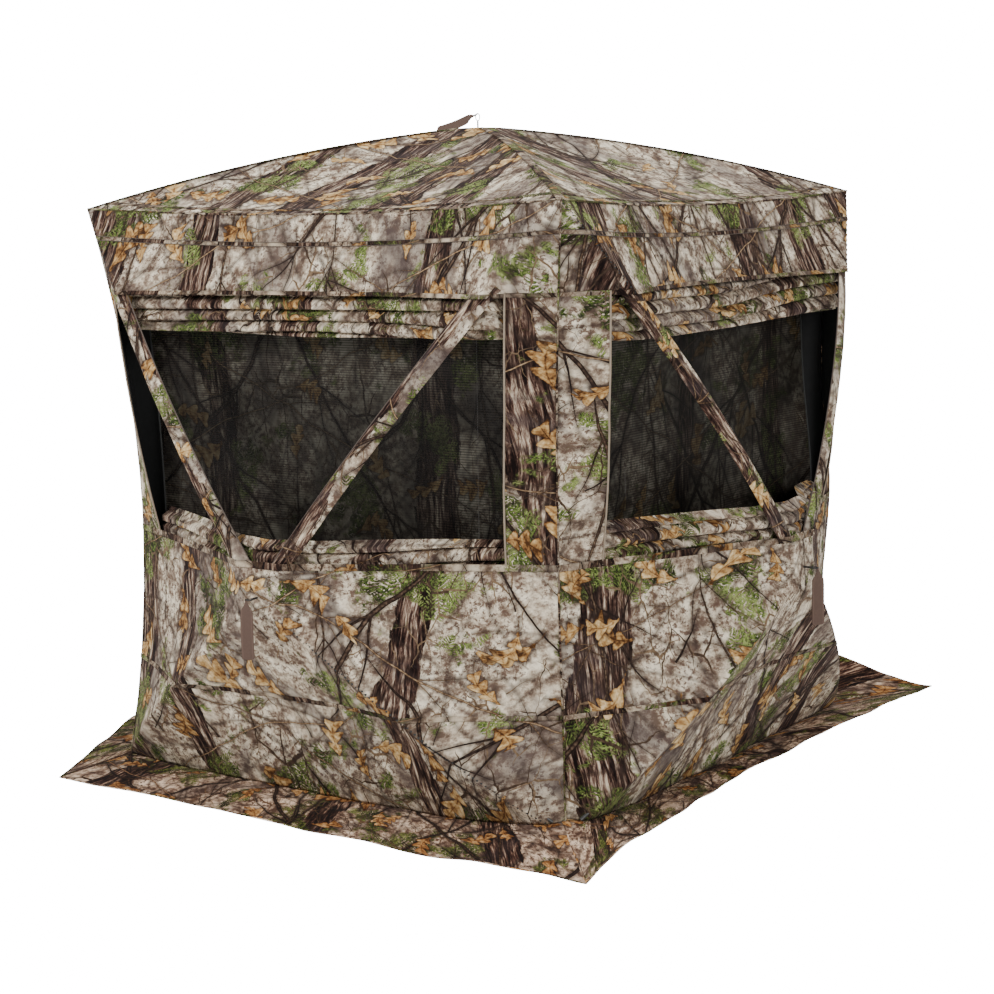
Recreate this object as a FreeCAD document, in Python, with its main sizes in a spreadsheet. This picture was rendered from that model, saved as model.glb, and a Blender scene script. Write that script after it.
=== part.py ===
import FreeCAD, Part
import math
import os

import Sketcher
from FreeCAD import Placement, Rotation, Vector

# Pop-up ground blind: a square fabric cabin held taut by five hubs, each with four poles.
# Origin at the centre of the footprint on the ground, +Z up, the front wall towards -Y.
# A wall is drawn in its own frame (u along the wall, v up, n outward) and turned about Z.

SIZES = {
    # cabin
    "base_half": 865.0,        # half width at the ground
    "top_half": 900.0,         # half width at the eave corners
    "eave_height": 1800.0,     # height of the eave corners
    "peak_height": 2032.0,     # fabric height at the roof hub
    "hub_reach": 1178.0,       # fabric over a wall hub, from the centre axis
    "hub_height": 668.0,       # height of the wall hubs
    "corner_bow": 71.0,        # inward bow of a corner edge, along each axis
    "eave_inset": 50.0,        # inward bow of an eave at its middle
    "eave_sag": 30.0,          # downward sag of an eave at its middle
    "wall_pole_bow": 50.0,     # outward bow of a wall along its poles
    "roof_pole_bow": 30.0,     # upward bow of the roof along its poles
    "panel_dip": -10.0,        # bow of a panel half way between two poles
    "fabric_thick": 3.0,
    "hub_opening": 70.0,       # radius of the opening that a hub works in
    "eave_gap": 0.1,           # between the roof's edge and the tops of the walls
    # windows
    "sill_height": 770.0,
    "head_height": 1535.0,
    "strip_width": 150.0,      # fabric left beside each corner edge
    "mesh_reach": 800.0,
    "mesh_thick": 2.0,
    "mesh_lap": 22.0,
    "curtain_deep": 38.0,
    "curtain_tall": 88.0,
    "curtain_gap": 30.0,       # from the wall surface in to the curtain
    "pole_lane": 30.0,         # width left free for a pole to fold through
    # ground
    "skirt_thick": 2.0,
    "skirt_inner": 850.0,
    "skirt_side": 1105.0,
    "skirt_tip": 1165.0,
    "tab_wide": 30.0,
    "tab_long": 62.0,
    "tab_thick": 2.0,
    "tab_hole_radius": 7.0,
    # hubs
    "hub_sunk": 22.0,          # hub centre below the fabric
    "core_radius": 60.0,
    "core_tall": 34.0,
    "slot_wide": 13.0,
    "slot_start": 28.0,
    "slot_long": 40.0,
    "pin_circle": 42.0,
    "pin_radius": 2.5,
    "pin_long": 28.0,
    "pin_bore_radius": 2.55,
    "shank_radius": 3.0,
    "shank_bore_radius": 3.05,
    "shank_long": 71.0,
    "shank_tail": 26.0,        # shank below the hub centre
    "washer_radius": 25.0,
    "washer_thick": 3.0,
    "ring_radius": 11.5,
    "ring_wire_radius": 1.6,
    "ring_rise": 58.0,         # ring centre above the hub centre
    "nut_radius": 6.0,
    "nut_thick": 5.0,
    # pull straps
    "strap_wide": 38.0,
    "strap_long": 172.0,
    "strap_thick": 4.0,
    "strap_neck": 8.0,
    "strap_eye_radius": 6.0,
    "strap_bore_radius": 3.6,
    "roof_strap_tilt": 25.0,   # degrees, where the roof strap comes to rest on the fabric
    # poles
    "pole_radius": 5.5,
    "pole_short": 62.0,        # tip to corner, left for the fold
    "pole_inset": 20.0,        # pole line below the fabric
    "eye_radius": 8.0,
    "eye_wide": 10.0,
    "eye_bore_radius": 2.6,
    "eye_to_rod": 4.0,
    # door
    "door_margin": 45.0,       # from the pole line to the door's opening
    "zip_gap": 12.0,
    "door_hinge": 700.0,
    "door_inner": 142.0,
    "seam_wide": 8.0,
    "slider_wide": 8.0,
    "slider_long": 22.0,
    "slider_deep": 12.0,
}

WALLS = {"front": 0, "right": 90, "back": 180, "left": 270}
WINDOW_WALLS = ("front", "right", "left")
SIDE_STEPS = 4
TOP_STEPS = 4
BASE_STEPS = 2
RINGS = 4

doc = FreeCAD.newDocument("GroundBlind")
sheet = doc.addObject("Spreadsheet::Sheet", "Sizes")


def fill_sheet(values):
    """Write one plain number a row, with its alias in the next column's place."""
    for row, (alias, value) in enumerate(values.items(), start=1):
        sheet.set(f"A{row}", alias)
        sheet.set(f"B{row}", f"{value:.4f}")
        sheet.setAlias(f"B{row}", alias)
    doc.recompute()


def size(alias):
    return float(sheet.get(alias))


def bind(feature, **rows):
    """Bind each named property of a feature to a cell or an expression over cells."""
    for prop, text in rows.items():
        words = [w if w not in SIZES else f"Sizes.{w}" for w in text.split(" ")]
        feature.setExpression(prop, " ".join(words))


# ---------------------------------------------------------------- surface of a wall


def corner_half(z):
    """Half width of the cabin at a corner edge."""
    f = min(max(z / size("eave_height"), 0.0), 1.0)
    straight = size("base_half") + (size("top_half") - size("base_half")) * f
    return straight - size("corner_bow") * 4 * f * (1 - f)


def eave_point(f):
    """(u, n, z) of the eave, f from 0 to 1 along the wall."""
    swell = 4 * f * (1 - f)
    u = (2 * f - 1) * size("top_half")
    n = size("top_half") - size("eave_inset") * swell
    return u, n, size("eave_height") - size("eave_sag") * swell


def wall_outline():
    """Edge points of a wall going round from the lower right corner, each with its share
    a, 0 where a pole ends and 1 half way between two poles."""
    floor = size("skirt_thick")
    tall = size("eave_height")
    points = []
    for i in range(SIDE_STEPS):
        f = i / SIDE_STEPS
        z = floor + (tall - floor) * f
        points.append((corner_half(z), corner_half(z), z, 4 * f * (1 - f)))
    for i in range(TOP_STEPS):
        f = 1 - i / TOP_STEPS
        points.append((*eave_point(f), 4 * f * (1 - f)))
    for i in range(SIDE_STEPS):
        f = 1 - i / SIDE_STEPS
        z = floor + (tall - floor) * f
        points.append((-corner_half(z), corner_half(z), z, 4 * f * (1 - f)))
    for i in range(BASE_STEPS):
        f = i / BASE_STEPS
        half = corner_half(floor)
        points.append(((2 * f - 1) * half, half, floor, 4 * f * (1 - f)))
    return points


def swell_at(t, a, bow):
    """Outward bow t of the way from hub to edge, for a direction with share a."""
    return (bow * (1 - a) + size("panel_dip") * a) * 4 * t * (1 - t)


def wall_depth(u, z):
    """Distance n of the wall surface from the centre axis at (u, z)."""
    rise = z - size("hub_height")
    reach = math.hypot(u, rise)
    if reach <= size("hub_opening"):
        return size("hub_reach")
    share, edge, a = edge_along(abs(u), rise)
    t = (reach - size("hub_opening")) / (reach / share - size("hub_opening"))
    bow = swell_at(t, a, size("wall_pole_bow"))
    return size("hub_reach") + (edge - size("hub_reach")) * t + bow


def edge_along(u, rise):
    """Where the ray from the hub through (u, rise) leaves the wall: how far along it
    (u, rise) lies, the edge's n, and the share a there."""
    hub = size("hub_height")
    tall = size("eave_height")
    top = size("top_half")
    hit = rise
    for _ in range(20):
        half = corner_half(hub + hit)
        hit = rise * half / max(u, 1e-6)
        if not -hub <= hit <= tall - hub:
            break
    if -hub <= hit <= tall - hub:
        f = (hub + hit) / tall
        return u / half, half, 4 * f * (1 - f)
    if rise > 0:
        out = u
        for _ in range(20):
            f = (min(out / top, 1.0) + 1) / 2
            _, edge, z = eave_point(f)
            out = u * (z - hub) / rise
        return rise / (z - hub), edge, 4 * f * (1 - f)
    f = (u * hub / -rise / size("base_half") + 1) / 2
    return -rise / hub, size("base_half"), 4 * f * (1 - f)


# ---------------------------------------------------------------- solids from points


def face_of(points):
    return Part.Face(Part.makePolygon(points + points[:1]))


def quad(a, b, c, d):
    """Two triangles for a patch that may be twisted."""
    return [face_of([a, b, c]), face_of([a, c, d])]


def solid_of(faces):
    shell = Part.Shell(faces)
    shell.sewShape()
    solid = Part.Solid(shell)
    if solid.Volume < 0:
        solid.reverse()
    return solid


def thick_fan(outer, inner):
    """Closed sheet between two grids of points, rings by directions, closed round."""
    faces = []
    count = len(outer[0])
    for k in range(len(outer) - 1):
        for j in range(count):
            i = (j + 1) % count
            faces += quad(outer[k][j], outer[k][i], outer[k + 1][i], outer[k + 1][j])
            faces += quad(inner[k][j], inner[k + 1][j], inner[k + 1][i], inner[k][i])
    for j in range(count):
        i = (j + 1) % count
        faces += quad(outer[0][j], inner[0][j], inner[0][i], outer[0][i])
        faces += quad(outer[-1][j], outer[-1][i], inner[-1][i], inner[-1][j])
    return solid_of(faces)


def strip_box(rows):
    """Closed solid through a row of four-cornered sections."""
    faces = []
    for low, high in zip(rows, rows[1:]):
        for i in range(4):
            j = (i + 1) % 4
            faces += quad(low[i], high[i], high[j], low[j])
    faces.append(face_of(rows[0]))
    faces.append(face_of(rows[-1]))
    return solid_of(faces)


def at(u, n, z):
    """A wall-frame point on the front wall."""
    return Vector(u, -n, z)


def prism(outline, near=500.0, far=1400.0):
    """A cutter through the front wall with an outline of (u, z) points."""
    face = face_of([at(u, near, z) for u, z in outline])
    return face.extrude(Vector(0, near - far, 0))


def feature(name, shape, yaw=0.0):
    """A sub-part whose shape is made from points, turned to its own wall."""
    item = doc.addObject("Part::Feature", name)
    item.Label = name
    item.Shape = shape
    item.Placement = Placement(Vector(), Rotation(Vector(0, 0, 1), yaw))
    return item


# ---------------------------------------------------------------- fabric


def wall_shape():
    """One wall: a fan of panels from the hub opening out to the edges."""
    outer = []
    inner = []
    hub = size("hub_height")
    opening = size("hub_opening")
    for k in range(RINGS + 1):
        t = k / RINGS
        outer_ring = []
        inner_ring = []
        for u_edge, n_edge, z_edge, a in wall_outline():
            span = math.hypot(u_edge, z_edge - hub)
            reach = (opening + (span - opening) * t) / span
            u = u_edge * reach
            z = hub + (z_edge - hub) * reach
            n = size("hub_reach") + (n_edge - size("hub_reach")) * t
            n += swell_at(t, a, size("wall_pole_bow"))
            near = (n - size("fabric_thick")) / n
            outer_ring.append(at(u, n, z))
            inner_ring.append(at(u * near, n * near, z))
        outer.append(outer_ring)
        inner.append(inner_ring)
    return thick_fan(outer, inner)


def roof_shape():
    """The roof: the same fan, lying down, between the four eaves."""
    edge = []
    for yaw in WALLS.values():
        turn = Rotation(Vector(0, 0, 1), yaw)
        for i in range(TOP_STEPS):
            f = i / TOP_STEPS
            edge.append((*eave_point(f), 4 * f * (1 - f), turn))
    outer = []
    inner = []
    for k in range(RINGS + 1):
        t = k / RINGS
        outer_ring = []
        inner_ring = []
        for u_edge, n_edge, z_edge, a, turn in edge:
            span = math.hypot(u_edge, n_edge)
            reach = (size("hub_opening") + (span - size("hub_opening")) * t) / span
            z = size("peak_height") + (z_edge - size("peak_height")) * t
            z += swell_at(t, a, size("roof_pole_bow")) + size("eave_gap")
            near = (n_edge - size("fabric_thick") * t) / n_edge
            point = at(u_edge * reach, n_edge * reach, 0)
            outer_ring.append(turn.multVec(point) + Vector(0, 0, z))
            drop = size("fabric_thick") * (1 - t)
            inner_ring.append(turn.multVec(point * near) + Vector(0, 0, z - drop))
        outer.append(outer_ring)
        inner.append(inner_ring)
    return thick_fan(outer, inner)


def window_outline(lap=0.0):
    """(u, z) outline of a window, grown by lap."""
    low = size("sill_height") - lap
    high = size("head_height") + lap
    heights = [low, (low + high) / 2, high]
    sides = [(corner_half(z) - size("strip_width") + lap, z) for z in heights]
    return sides + [(-u, z) for u, z in reversed(sides)]


def mesh_shape():
    """A flat see-through panel hung inside a window."""
    outline = [at(u, size("mesh_reach"), z) for u, z in window_outline(size("mesh_lap"))]
    return face_of(outline).extrude(Vector(0, -size("mesh_thick"), 0))


def pole_lanes():
    """Cutters that leave a lane for each upper pole to fold through."""
    angle = upper_angle()
    wide = size("pole_lane") / 2 / math.sin(angle)
    slope = 1 / math.tan(angle)
    hub = size("hub_height")
    lanes = []
    for side in (-1, 1):
        outline = []
        for z, edge in ((hub, -1), (hub, 1), (hub + 1200, 1), (hub + 1200, -1)):
            outline.append((side * ((z - hub) * slope + edge * wide), z))
        lanes.append(prism(outline))
    return lanes


def curtain_shape(low, level):
    """A gathered window curtain: a bar that follows the wall surface at a height."""
    high = low + size("curtain_tall")
    half = corner_half(level) - size("strip_width") - 12
    rows = []
    for i in range(9):
        u = half * (i / 4 - 1)
        front = wall_depth(u, level) - size("curtain_gap")
        back = front - size("curtain_deep")
        rows.append([at(u, back, low), at(u, front, low), at(u, front, high), at(u, back, high)])
    bar = strip_box(rows)
    for lane in pole_lanes():
        bar = bar.cut(lane)
    return bar


def skirt_shape():
    """The ground skirt: a flat frame whose corners run out to points."""
    tip = size("skirt_tip")
    side = size("skirt_side")
    inner = size("skirt_inner")
    outer = []
    for yaw in WALLS.values():
        turn = Rotation(Vector(0, 0, 1), yaw)
        outer.append(turn.multVec(Vector(-tip, -tip, 0)))
        outer.append(turn.multVec(Vector(0, -side, 0)))
    hole = [Vector(x * inner, y * inner, 0) for x, y in ((-1, -1), (1, -1), (1, 1), (-1, 1))]
    lift = Vector(0, 0, size("skirt_thick"))
    return face_of(outer).extrude(lift).cut(face_of(hole).extrude(lift))


def stake_tabs_shape():
    """Four webbing tabs with an eyelet, inside the foot of each corner."""
    wide = size("tab_wide")
    tabs = []
    for yaw in WALLS.values():
        tab = Part.makeBox(size("tab_long"), wide, size("tab_thick"), Vector(0, -wide / 2, 0))
        eyelet = Part.makeCylinder(
            size("tab_hole_radius"), size("tab_thick"), Vector(size("tab_long") / 3, 0, 0)
        )
        tab = tab.cut(eyelet)
        reach = size("skirt_inner") * math.sqrt(2) - size("tab_long") - wide / 2
        turn = Placement(Vector(), Rotation(Vector(0, 0, 1), yaw - 45))
        tab.Placement = turn.multiply(Placement(Vector(reach, 0, 0), Rotation()))
        tabs.append(tab)
    return Part.makeCompound(tabs)


# ---------------------------------------------------------------- door in the back wall


def upper_angle():
    """Angle of the upper pole lines above the horizontal."""
    return math.atan2(size("eave_height") - size("hub_height"), size("top_half"))


def lower_angle():
    """Angle of the lower pole lines below the horizontal."""
    return math.atan2(size("hub_height") - size("skirt_thick"), size("base_half"))


def door_outline(margin, inner, outer):
    """(u, z) corners between two lines that keep a margin from the poles."""

    def low(u):
        return hub - u * math.tan(lower_angle()) + margin / math.cos(lower_angle())

    def high(u):
        return hub + u * math.tan(upper_angle()) - margin / math.cos(upper_angle())

    hub = size("hub_height")
    return [(inner, low(inner)), (outer, low(outer)), (outer, high(outer)), (inner, high(inner))]


def door_plane():
    """Hinge ends A and B and the middle C of the door's free end, on the wall surface."""
    gap = size("zip_gap") + size("door_margin")
    corners = door_outline(gap, size("door_inner"), size("door_hinge"))
    a = (*corners[1], wall_depth(*corners[1]))
    b = (*corners[2], wall_depth(*corners[2]))
    middle = (corners[0][1] + corners[3][1]) / 2
    c = (size("door_inner"), middle, wall_depth(size("door_inner"), middle))
    return [at(u, n, z) for u, z, n in (a, b, c)]


def on_door(u, z):
    """The point of the door's plane at (u, z)."""
    a, b, c = door_plane()
    normal = (b - a).cross(c - a)
    y = a.y - (normal.x * (u - a.x) + normal.z * (z - a.z)) / normal.y
    return Vector(u, y, z)


def door_sheet(outline):
    """A flat panel in the door's plane."""
    thick = Vector(0, size("fabric_thick"), 0)
    return face_of([on_door(u, z) for u, z in outline]).extrude(thick)


def door_panel_shape():
    gap = size("zip_gap") + size("door_margin")
    return door_sheet(door_outline(gap, size("door_inner"), size("door_hinge")))


def door_seam_shape():
    """The strip that the door hangs from, beside its hinge line."""
    start = size("door_hinge") + 4
    gap = size("zip_gap") + size("door_margin") + 20
    _, low, high, _ = door_outline(gap, size("door_inner"), size("door_hinge"))
    end = start + size("seam_wide")
    return door_sheet([(start, low[1]), (end, low[1]), (end, high[1]), (start, high[1])])


def door_opening():
    return prism(door_outline(size("door_margin"), size("door_inner") - size("zip_gap"),
                              size("door_hinge") + size("seam_wide") + 12))


def zip_line():
    """Start and end of the zipper's lower run, in the middle of its gap."""
    middle = size("door_margin") + size("zip_gap") / 2
    inner = size("door_inner") + 20
    corners = door_outline(middle, inner, size("door_hinge") - 20)
    return on_door(*corners[0]), on_door(*corners[1])


def slider_shape():
    """A zipper slider with its pull tab, lying in the gap."""
    start, end = zip_line()
    along = (end - start).normalize()
    long, wide, deep = size("slider_long"), size("slider_wide"), size("slider_deep")
    body = Part.makeBox(long, wide, deep, Vector(0, -wide / 2, -deep / 2))
    tab = Part.makeBox(long * 1.4, wide / 2, 2, Vector(long / 2, -wide / 4, deep / 2 - 2))
    shape = body.fuse(tab)
    out = Vector(0, -1, 0)
    out = (out - along * out.dot(along)).normalize()
    turn = Rotation(along, out.cross(along), out, "XZY")
    return shape.transformGeometry(Placement(start, turn).toMatrix())


# ---------------------------------------------------------------- hubs, straps and poles


def hub_frame(name):
    """Placement of a hub: X along the wall, Y up it, Z outward, at the hub centre."""
    if name == "roof":
        axes = Vector(0, -1, 0), Vector(1, 0, 0), Vector(0, 0, 1)
        base = Vector(0, 0, size("peak_height") - size("hub_sunk"))
        return Placement(base, Rotation(*axes, "ZXY"))
    turn = Placement(Vector(), Rotation(Vector(0, 0, 1), WALLS[name]))
    base = at(0, size("hub_reach") - size("hub_sunk"), size("hub_height"))
    axes = Vector(1, 0, 0), Vector(0, 0, 1), Vector(0, -1, 0)
    return turn.multiply(Placement(base, Rotation(*axes, "ZXY")))


def pole_angles(name):
    """Direction of each pole of a hub, in its frame, by name."""
    if name == "roof":
        corners = ("left_front", "right_front", "right_back", "left_back")
        turns = (225, 315, 45, 135)
        frame = hub_frame("roof").Rotation.inverted()
        angles = {}
        for corner, turn in zip(corners, turns):
            way = Vector(math.cos(math.radians(turn)), math.sin(math.radians(turn)), 0)
            local = frame.multVec(way)
            angles[corner] = math.atan2(local.y, local.x)
        return angles
    up, low = upper_angle(), lower_angle()
    return {"upper_right": up, "upper_left": math.pi - up, "lower_left": math.pi + low,
            "lower_right": -low}


def cylinder(name, radius, height, placement=None):
    item = doc.addObject("Part::Cylinder", name)
    bind(item, Radius=radius, Height=height)
    item.Placement = placement or Placement()
    return item


def spoke(angle, reach=0.0, lift=0.0):
    """A placement out along a pole's direction, X pointing outward along it."""
    way = Vector(math.cos(angle), math.sin(angle), 0)
    turn = Rotation(Vector(0, 0, 1), math.degrees(angle))
    return Placement(way * reach + Vector(0, 0, lift), turn)


def across(angle, length):
    """A placement for a pin across a pole's direction, centred on the pin circle."""
    base = spoke(angle, size("pin_circle"))
    lay = Placement(Vector(0, length / 2, 0), Rotation(Vector(1, 0, 0), 90))
    return base.multiply(lay)


def hub_core(name):
    """The moulded hub: a disc with a slot and a pin bore for each pole."""
    tall = size("core_tall")
    base = Placement(Vector(0, 0, -tall / 2), Rotation())
    disc = cylinder(f"{name}_disc", "core_radius", "core_tall", base)
    cutters = [cylinder(f"{name}_shank_bore", "shank_bore_radius", "core_tall", base)]
    for i, angle in enumerate(pole_angles(name).values()):
        slot = doc.addObject("Part::Box", f"{name}_slot_{i}")
        bind(slot, Length="slot_long", Width="slot_wide", Height="core_tall")
        shift = Placement(Vector(0, -size("slot_wide") / 2, 0), Rotation())
        slot.Placement = spoke(angle, size("slot_start"), -tall / 2).multiply(shift)
        cutters.append(slot)
        cutters.append(cylinder(f"{name}_pin_bore_{i}", "pin_bore_radius", "pin_long",
                                across(angle, size("pin_long"))))
    tools = doc.addObject("Part::MultiFuse", f"{name}_cutters")
    tools.Shapes = cutters
    core = doc.addObject("Part::Cut", f"{name}_hub_core")
    core.Base = disc
    core.Tool = tools
    return finish(core, f"{name}_hub_core", hub_frame(name))


def hub_pins(name):
    """The four steel pins that the pole eyes turn on."""
    pins = []
    for i, angle in enumerate(pole_angles(name).values()):
        lay = across(angle, size("pin_long"))
        pins.append(cylinder(f"{name}_pin_{i}", "pin_radius", "pin_long", lay))
    group = doc.addObject("Part::Compound", f"{name}_hub_pins")
    group.Links = pins
    return finish(group, f"{name}_hub_pins", hub_frame(name))


def ring_bolt(name):
    """The eye bolt through the hub, with its washer, and the nut under it."""
    top = size("core_tall") / 2
    foot = Placement(Vector(0, 0, -size("shank_tail")), Rotation())
    shank = cylinder(f"{name}_shank", "shank_radius", "shank_long", foot)
    face = Placement(Vector(0, 0, top), Rotation())
    washer = cylinder(f"{name}_washer", "washer_radius", "washer_thick", face)
    ring = doc.addObject("Part::Torus", f"{name}_ring")
    bind(ring, Radius1="ring_radius", Radius2="ring_wire_radius")
    ring.Placement = Placement(Vector(0, 0, size("ring_rise")), Rotation(Vector(1, 0, 0), 90))
    bolt = doc.addObject("Part::MultiFuse", f"{name}_bolt")
    bolt.Shapes = [shank, washer, ring]
    hexagon = doc.addObject("Part::Prism", f"{name}_hexagon")
    hexagon.Polygon = 6
    bind(hexagon, Circumradius="nut_radius", Height="nut_thick")
    under = Placement(Vector(0, 0, -top - size("nut_thick")), Rotation())
    hexagon.Placement = under
    nut = doc.addObject("Part::Cut", f"{name}_nut")
    nut.Base = hexagon
    nut.Tool = cylinder(f"{name}_nut_bore", "shank_bore_radius", "nut_thick", under)
    group = doc.addObject("Part::Compound", f"{name}_ring_bolt")
    group.Links = [bolt, nut]
    return finish(group, f"{name}_ring_bolt", hub_frame(name))


def strap_tilt(name):
    """Turn of a strap about its ring: straight down a wall, or resting on the roof."""
    return size("roof_strap_tilt") if name == "roof" else 0.0


def strap_pivot(name):
    """Placement of a strap: its eye round the ring's outermost wire, -Y along the strap."""
    rise = size("ring_rise") + size("ring_radius") - 0.4
    local = Placement(Vector(0, 0, rise), Rotation(Vector(1, 0, 0), strap_tilt(name)))
    return hub_frame(name).multiply(local)


def origin_plane(body, role):
    return [f for f in body.Origin.OriginFeatures if f.Role == role][0]


def sketch_on(body, name, role):
    drawing = body.newObject("Sketcher::SketchObject", name)
    drawing.AttachmentSupport = [(origin_plane(body, role), "")]
    drawing.MapMode = "FlatFace"
    return drawing


def add_circle(drawing, radius):
    """A circle on the sketch's origin, its radius bound to a cell."""
    index = drawing.addGeometry(Part.Circle(Vector(), Vector(0, 0, 1), size(radius)), False)
    drawing.addConstraint(Sketcher.Constraint("Coincident", index, 3, -1, 1))
    row = drawing.addConstraint(Sketcher.Constraint("Radius", index, size(radius)))
    bind(drawing, **{f"Constraints[{row}]": radius})


def pull_strap(name):
    """A webbing pull strap: a flat tail with a neck that loops round the ring."""
    body = doc.addObject("PartDesign::Body", f"{name}_pull_strap")
    tail = sketch_on(body, f"{name}_tail_outline", "XY_Plane")
    neck, wide, long = size("strap_neck") / 2, size("strap_wide") / 2, size("strap_long")
    outline = [(neck, 0), (neck, -14), (wide, -34), (wide, -long), (-wide, -long), (-wide, -34),
               (-neck, -14), (-neck, 0)]
    corners = [Vector(x, y, 0) for x, y in outline]
    for start, end in zip(corners, corners[1:] + corners[:1]):
        tail.addGeometry(Part.LineSegment(start, end), False)
    pad = body.newObject("PartDesign::Pad", f"{name}_tail")
    pad.Profile = tail
    pad.Midplane = True
    bind(pad, Length="strap_thick")
    eye = sketch_on(body, f"{name}_eye_outline", "YZ_Plane")
    add_circle(eye, "strap_eye_radius")
    eye_pad = body.newObject("PartDesign::Pad", f"{name}_eye")
    eye_pad.Profile = eye
    eye_pad.Midplane = True
    bind(eye_pad, Length="strap_neck")
    bore = sketch_on(body, f"{name}_bore_outline", "YZ_Plane")
    add_circle(bore, "strap_bore_radius")
    pocket = body.newObject("PartDesign::Pocket", f"{name}_bore")
    pocket.Profile = bore
    pocket.Midplane = True
    pocket.Length = size("strap_wide")
    body.Tip = pocket
    return finish(body, f"{name}_pull_strap", strap_pivot(name))


def pole_tip(name, angle):
    """Tip of a pole in its hub's frame, inset from the corner and below the fabric."""
    if name == "roof":
        span = size("top_half") * math.sqrt(2)
        drop = size("peak_height") - size("eave_height")
        bow = size("roof_pole_bow")
    else:
        upper = math.sin(angle) > 0
        half = size("top_half") if upper else size("base_half")
        rise = size("eave_height") - size("hub_height") if upper else size("hub_height")
        span = math.hypot(half, rise)
        drop = size("hub_reach") - half
        bow = size("wall_pole_bow")
    reach = span - size("pole_short")
    t = (reach - size("hub_opening")) / (span - size("hub_opening"))
    depth = size("hub_sunk") - drop * t + bow * 4 * t * (1 - t) - size("pole_inset")
    way = Vector(math.cos(angle), math.sin(angle), 0)
    return way * reach + Vector(0, 0, depth), bow * (reach / span) ** 2


def pole_frame(name, angle):
    """Pin point, tip, bow and rotation of a pole in its hub's frame."""
    tip, bow = pole_tip(name, angle)
    pin = Vector(math.cos(angle), math.sin(angle), 0) * size("pin_circle")
    along = (tip - pin).normalize()
    out = Vector(0, 0, 1)
    out = (out - along * out.z).normalize()
    return pin, tip, bow, Rotation(along, out.cross(along), out, "XZY")


def pole(name, corner, angle):
    """A fibreglass pole: a long shallow arc with an eye at its hub end."""
    label = f"{name}_pole_{corner}"
    pin, tip, bow, turn = pole_frame(name, angle)
    half = ((tip - pin).Length - size("eye_to_rod")) / 2
    radius = (half * half + bow * bow) / (2 * bow)
    sweep = math.asin(half / radius)
    rod = doc.addObject("Part::Torus", f"{label}_rod")
    rod.Radius1 = radius
    rod.Angle3 = math.degrees(2 * sweep)
    bind(rod, Radius2="pole_radius")
    start = Vector(-math.sin(sweep), 0, math.cos(sweep))
    axis = Vector(0, 1, 0)
    turned = Rotation(start, axis.cross(start), axis, "ZXY")
    rod.Placement = Placement(Vector(0, 0, bow - radius), turned)
    hub_end = Vector(-half - size("eye_to_rod"), size("eye_wide") / 2, 0)
    lay = Placement(hub_end, Rotation(Vector(1, 0, 0), 90))
    eye = cylinder(f"{label}_eye", "eye_radius", "eye_wide", lay)
    joined = doc.addObject("Part::MultiFuse", f"{label}_joined")
    joined.Shapes = [rod, eye]
    cut = doc.addObject("Part::Cut", label)
    cut.Base = joined
    cut.Tool = cylinder(f"{label}_bore", "eye_bore_radius", "eye_wide", lay)
    middle = pin + turn.multVec(Vector(1, 0, 0)) * (half + size("eye_to_rod"))
    return finish(cut, label, hub_frame(name).multiply(Placement(middle, turn)))


def finish(item, label, placement):
    item.Label = label
    item.Placement = placement
    return item


# ---------------------------------------------------------------- build and write


def build():
    wall = wall_shape()
    window = prism(window_outline())
    parts = [feature("roof_canopy", roof_shape())]
    for name, yaw in WALLS.items():
        cutter = window if name in WINDOW_WALLS else door_opening()
        parts.append(feature(f"{name}_wall", wall.cut(cutter), yaw))
    parts.append(feature("ground_skirt", skirt_shape()))
    parts.append(feature("stake_tabs", stake_tabs_shape()))
    upper = curtain_shape(size("head_height") - size("curtain_tall"), size("head_height"))
    lower = curtain_shape(size("sill_height"), size("sill_height"))
    for name in WINDOW_WALLS:
        parts.append(feature(f"{name}_window_mesh", mesh_shape(), WALLS[name]))
        parts.append(feature(f"{name}_upper_curtain", upper, WALLS[name]))
        parts.append(feature(f"{name}_lower_curtain", lower, WALLS[name]))
    parts.append(feature("door_panel", door_panel_shape(), WALLS["back"]))
    parts.append(feature("door_seam", door_seam_shape(), WALLS["back"]))
    parts.append(feature("zipper_slider", slider_shape(), WALLS["back"]))
    for name in (*WALLS, "roof"):
        parts += [hub_core(name), hub_pins(name), ring_bolt(name), pull_strap(name)]
        for corner, angle in pole_angles(name).items():
            parts.append(pole(name, corner, angle))
    doc.recompute()
    return parts


def check(parts):
    for item in doc.Objects:
        if "Invalid" in item.State or "Error" in item.State:
            raise RuntimeError(f"{item.Label} failed: {item.State}")
    for item in parts:
        if item.Shape.isNull() or not item.Shape.isValid() or item.Shape.Volume <= 0:
            raise RuntimeError(f"{item.Label} has no valid shape")


def say(kind, name, *vectors):
    numbers = " ".join(f"{v.x:.6f} {v.y:.6f} {v.z:.6f}" for v in vectors)
    print(kind, name, numbers)


def print_joints():
    """Print every pivot and axis, in millimetres, for the record of the moving parts."""
    back = Rotation(Vector(0, 0, 1), WALLS["back"])
    for name in (*WALLS, "roof"):
        frame = hub_frame(name)
        say("hub", name, frame.Base, frame.Rotation.multVec(Vector(0, 0, 1)))
        pivot = strap_pivot(name)
        say("strap", name, pivot.Base, pivot.Rotation.multVec(Vector(1, 0, 0)))
        for corner, angle in pole_angles(name).items():
            pin, tip, _, turn = pole_frame(name, angle)
            axis = frame.Rotation.multVec(turn.multVec(Vector(0, 1, 0)))
            say("pole", f"{name}_pole_{corner}", frame.multVec(pin), axis, frame.multVec(tip))
    a, b, c = (back.multVec(p) for p in door_plane())
    say("door", "door", a, b, c)
    start, end = (back.multVec(p) for p in zip_line())
    say("zip", "zip", start, end)


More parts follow.
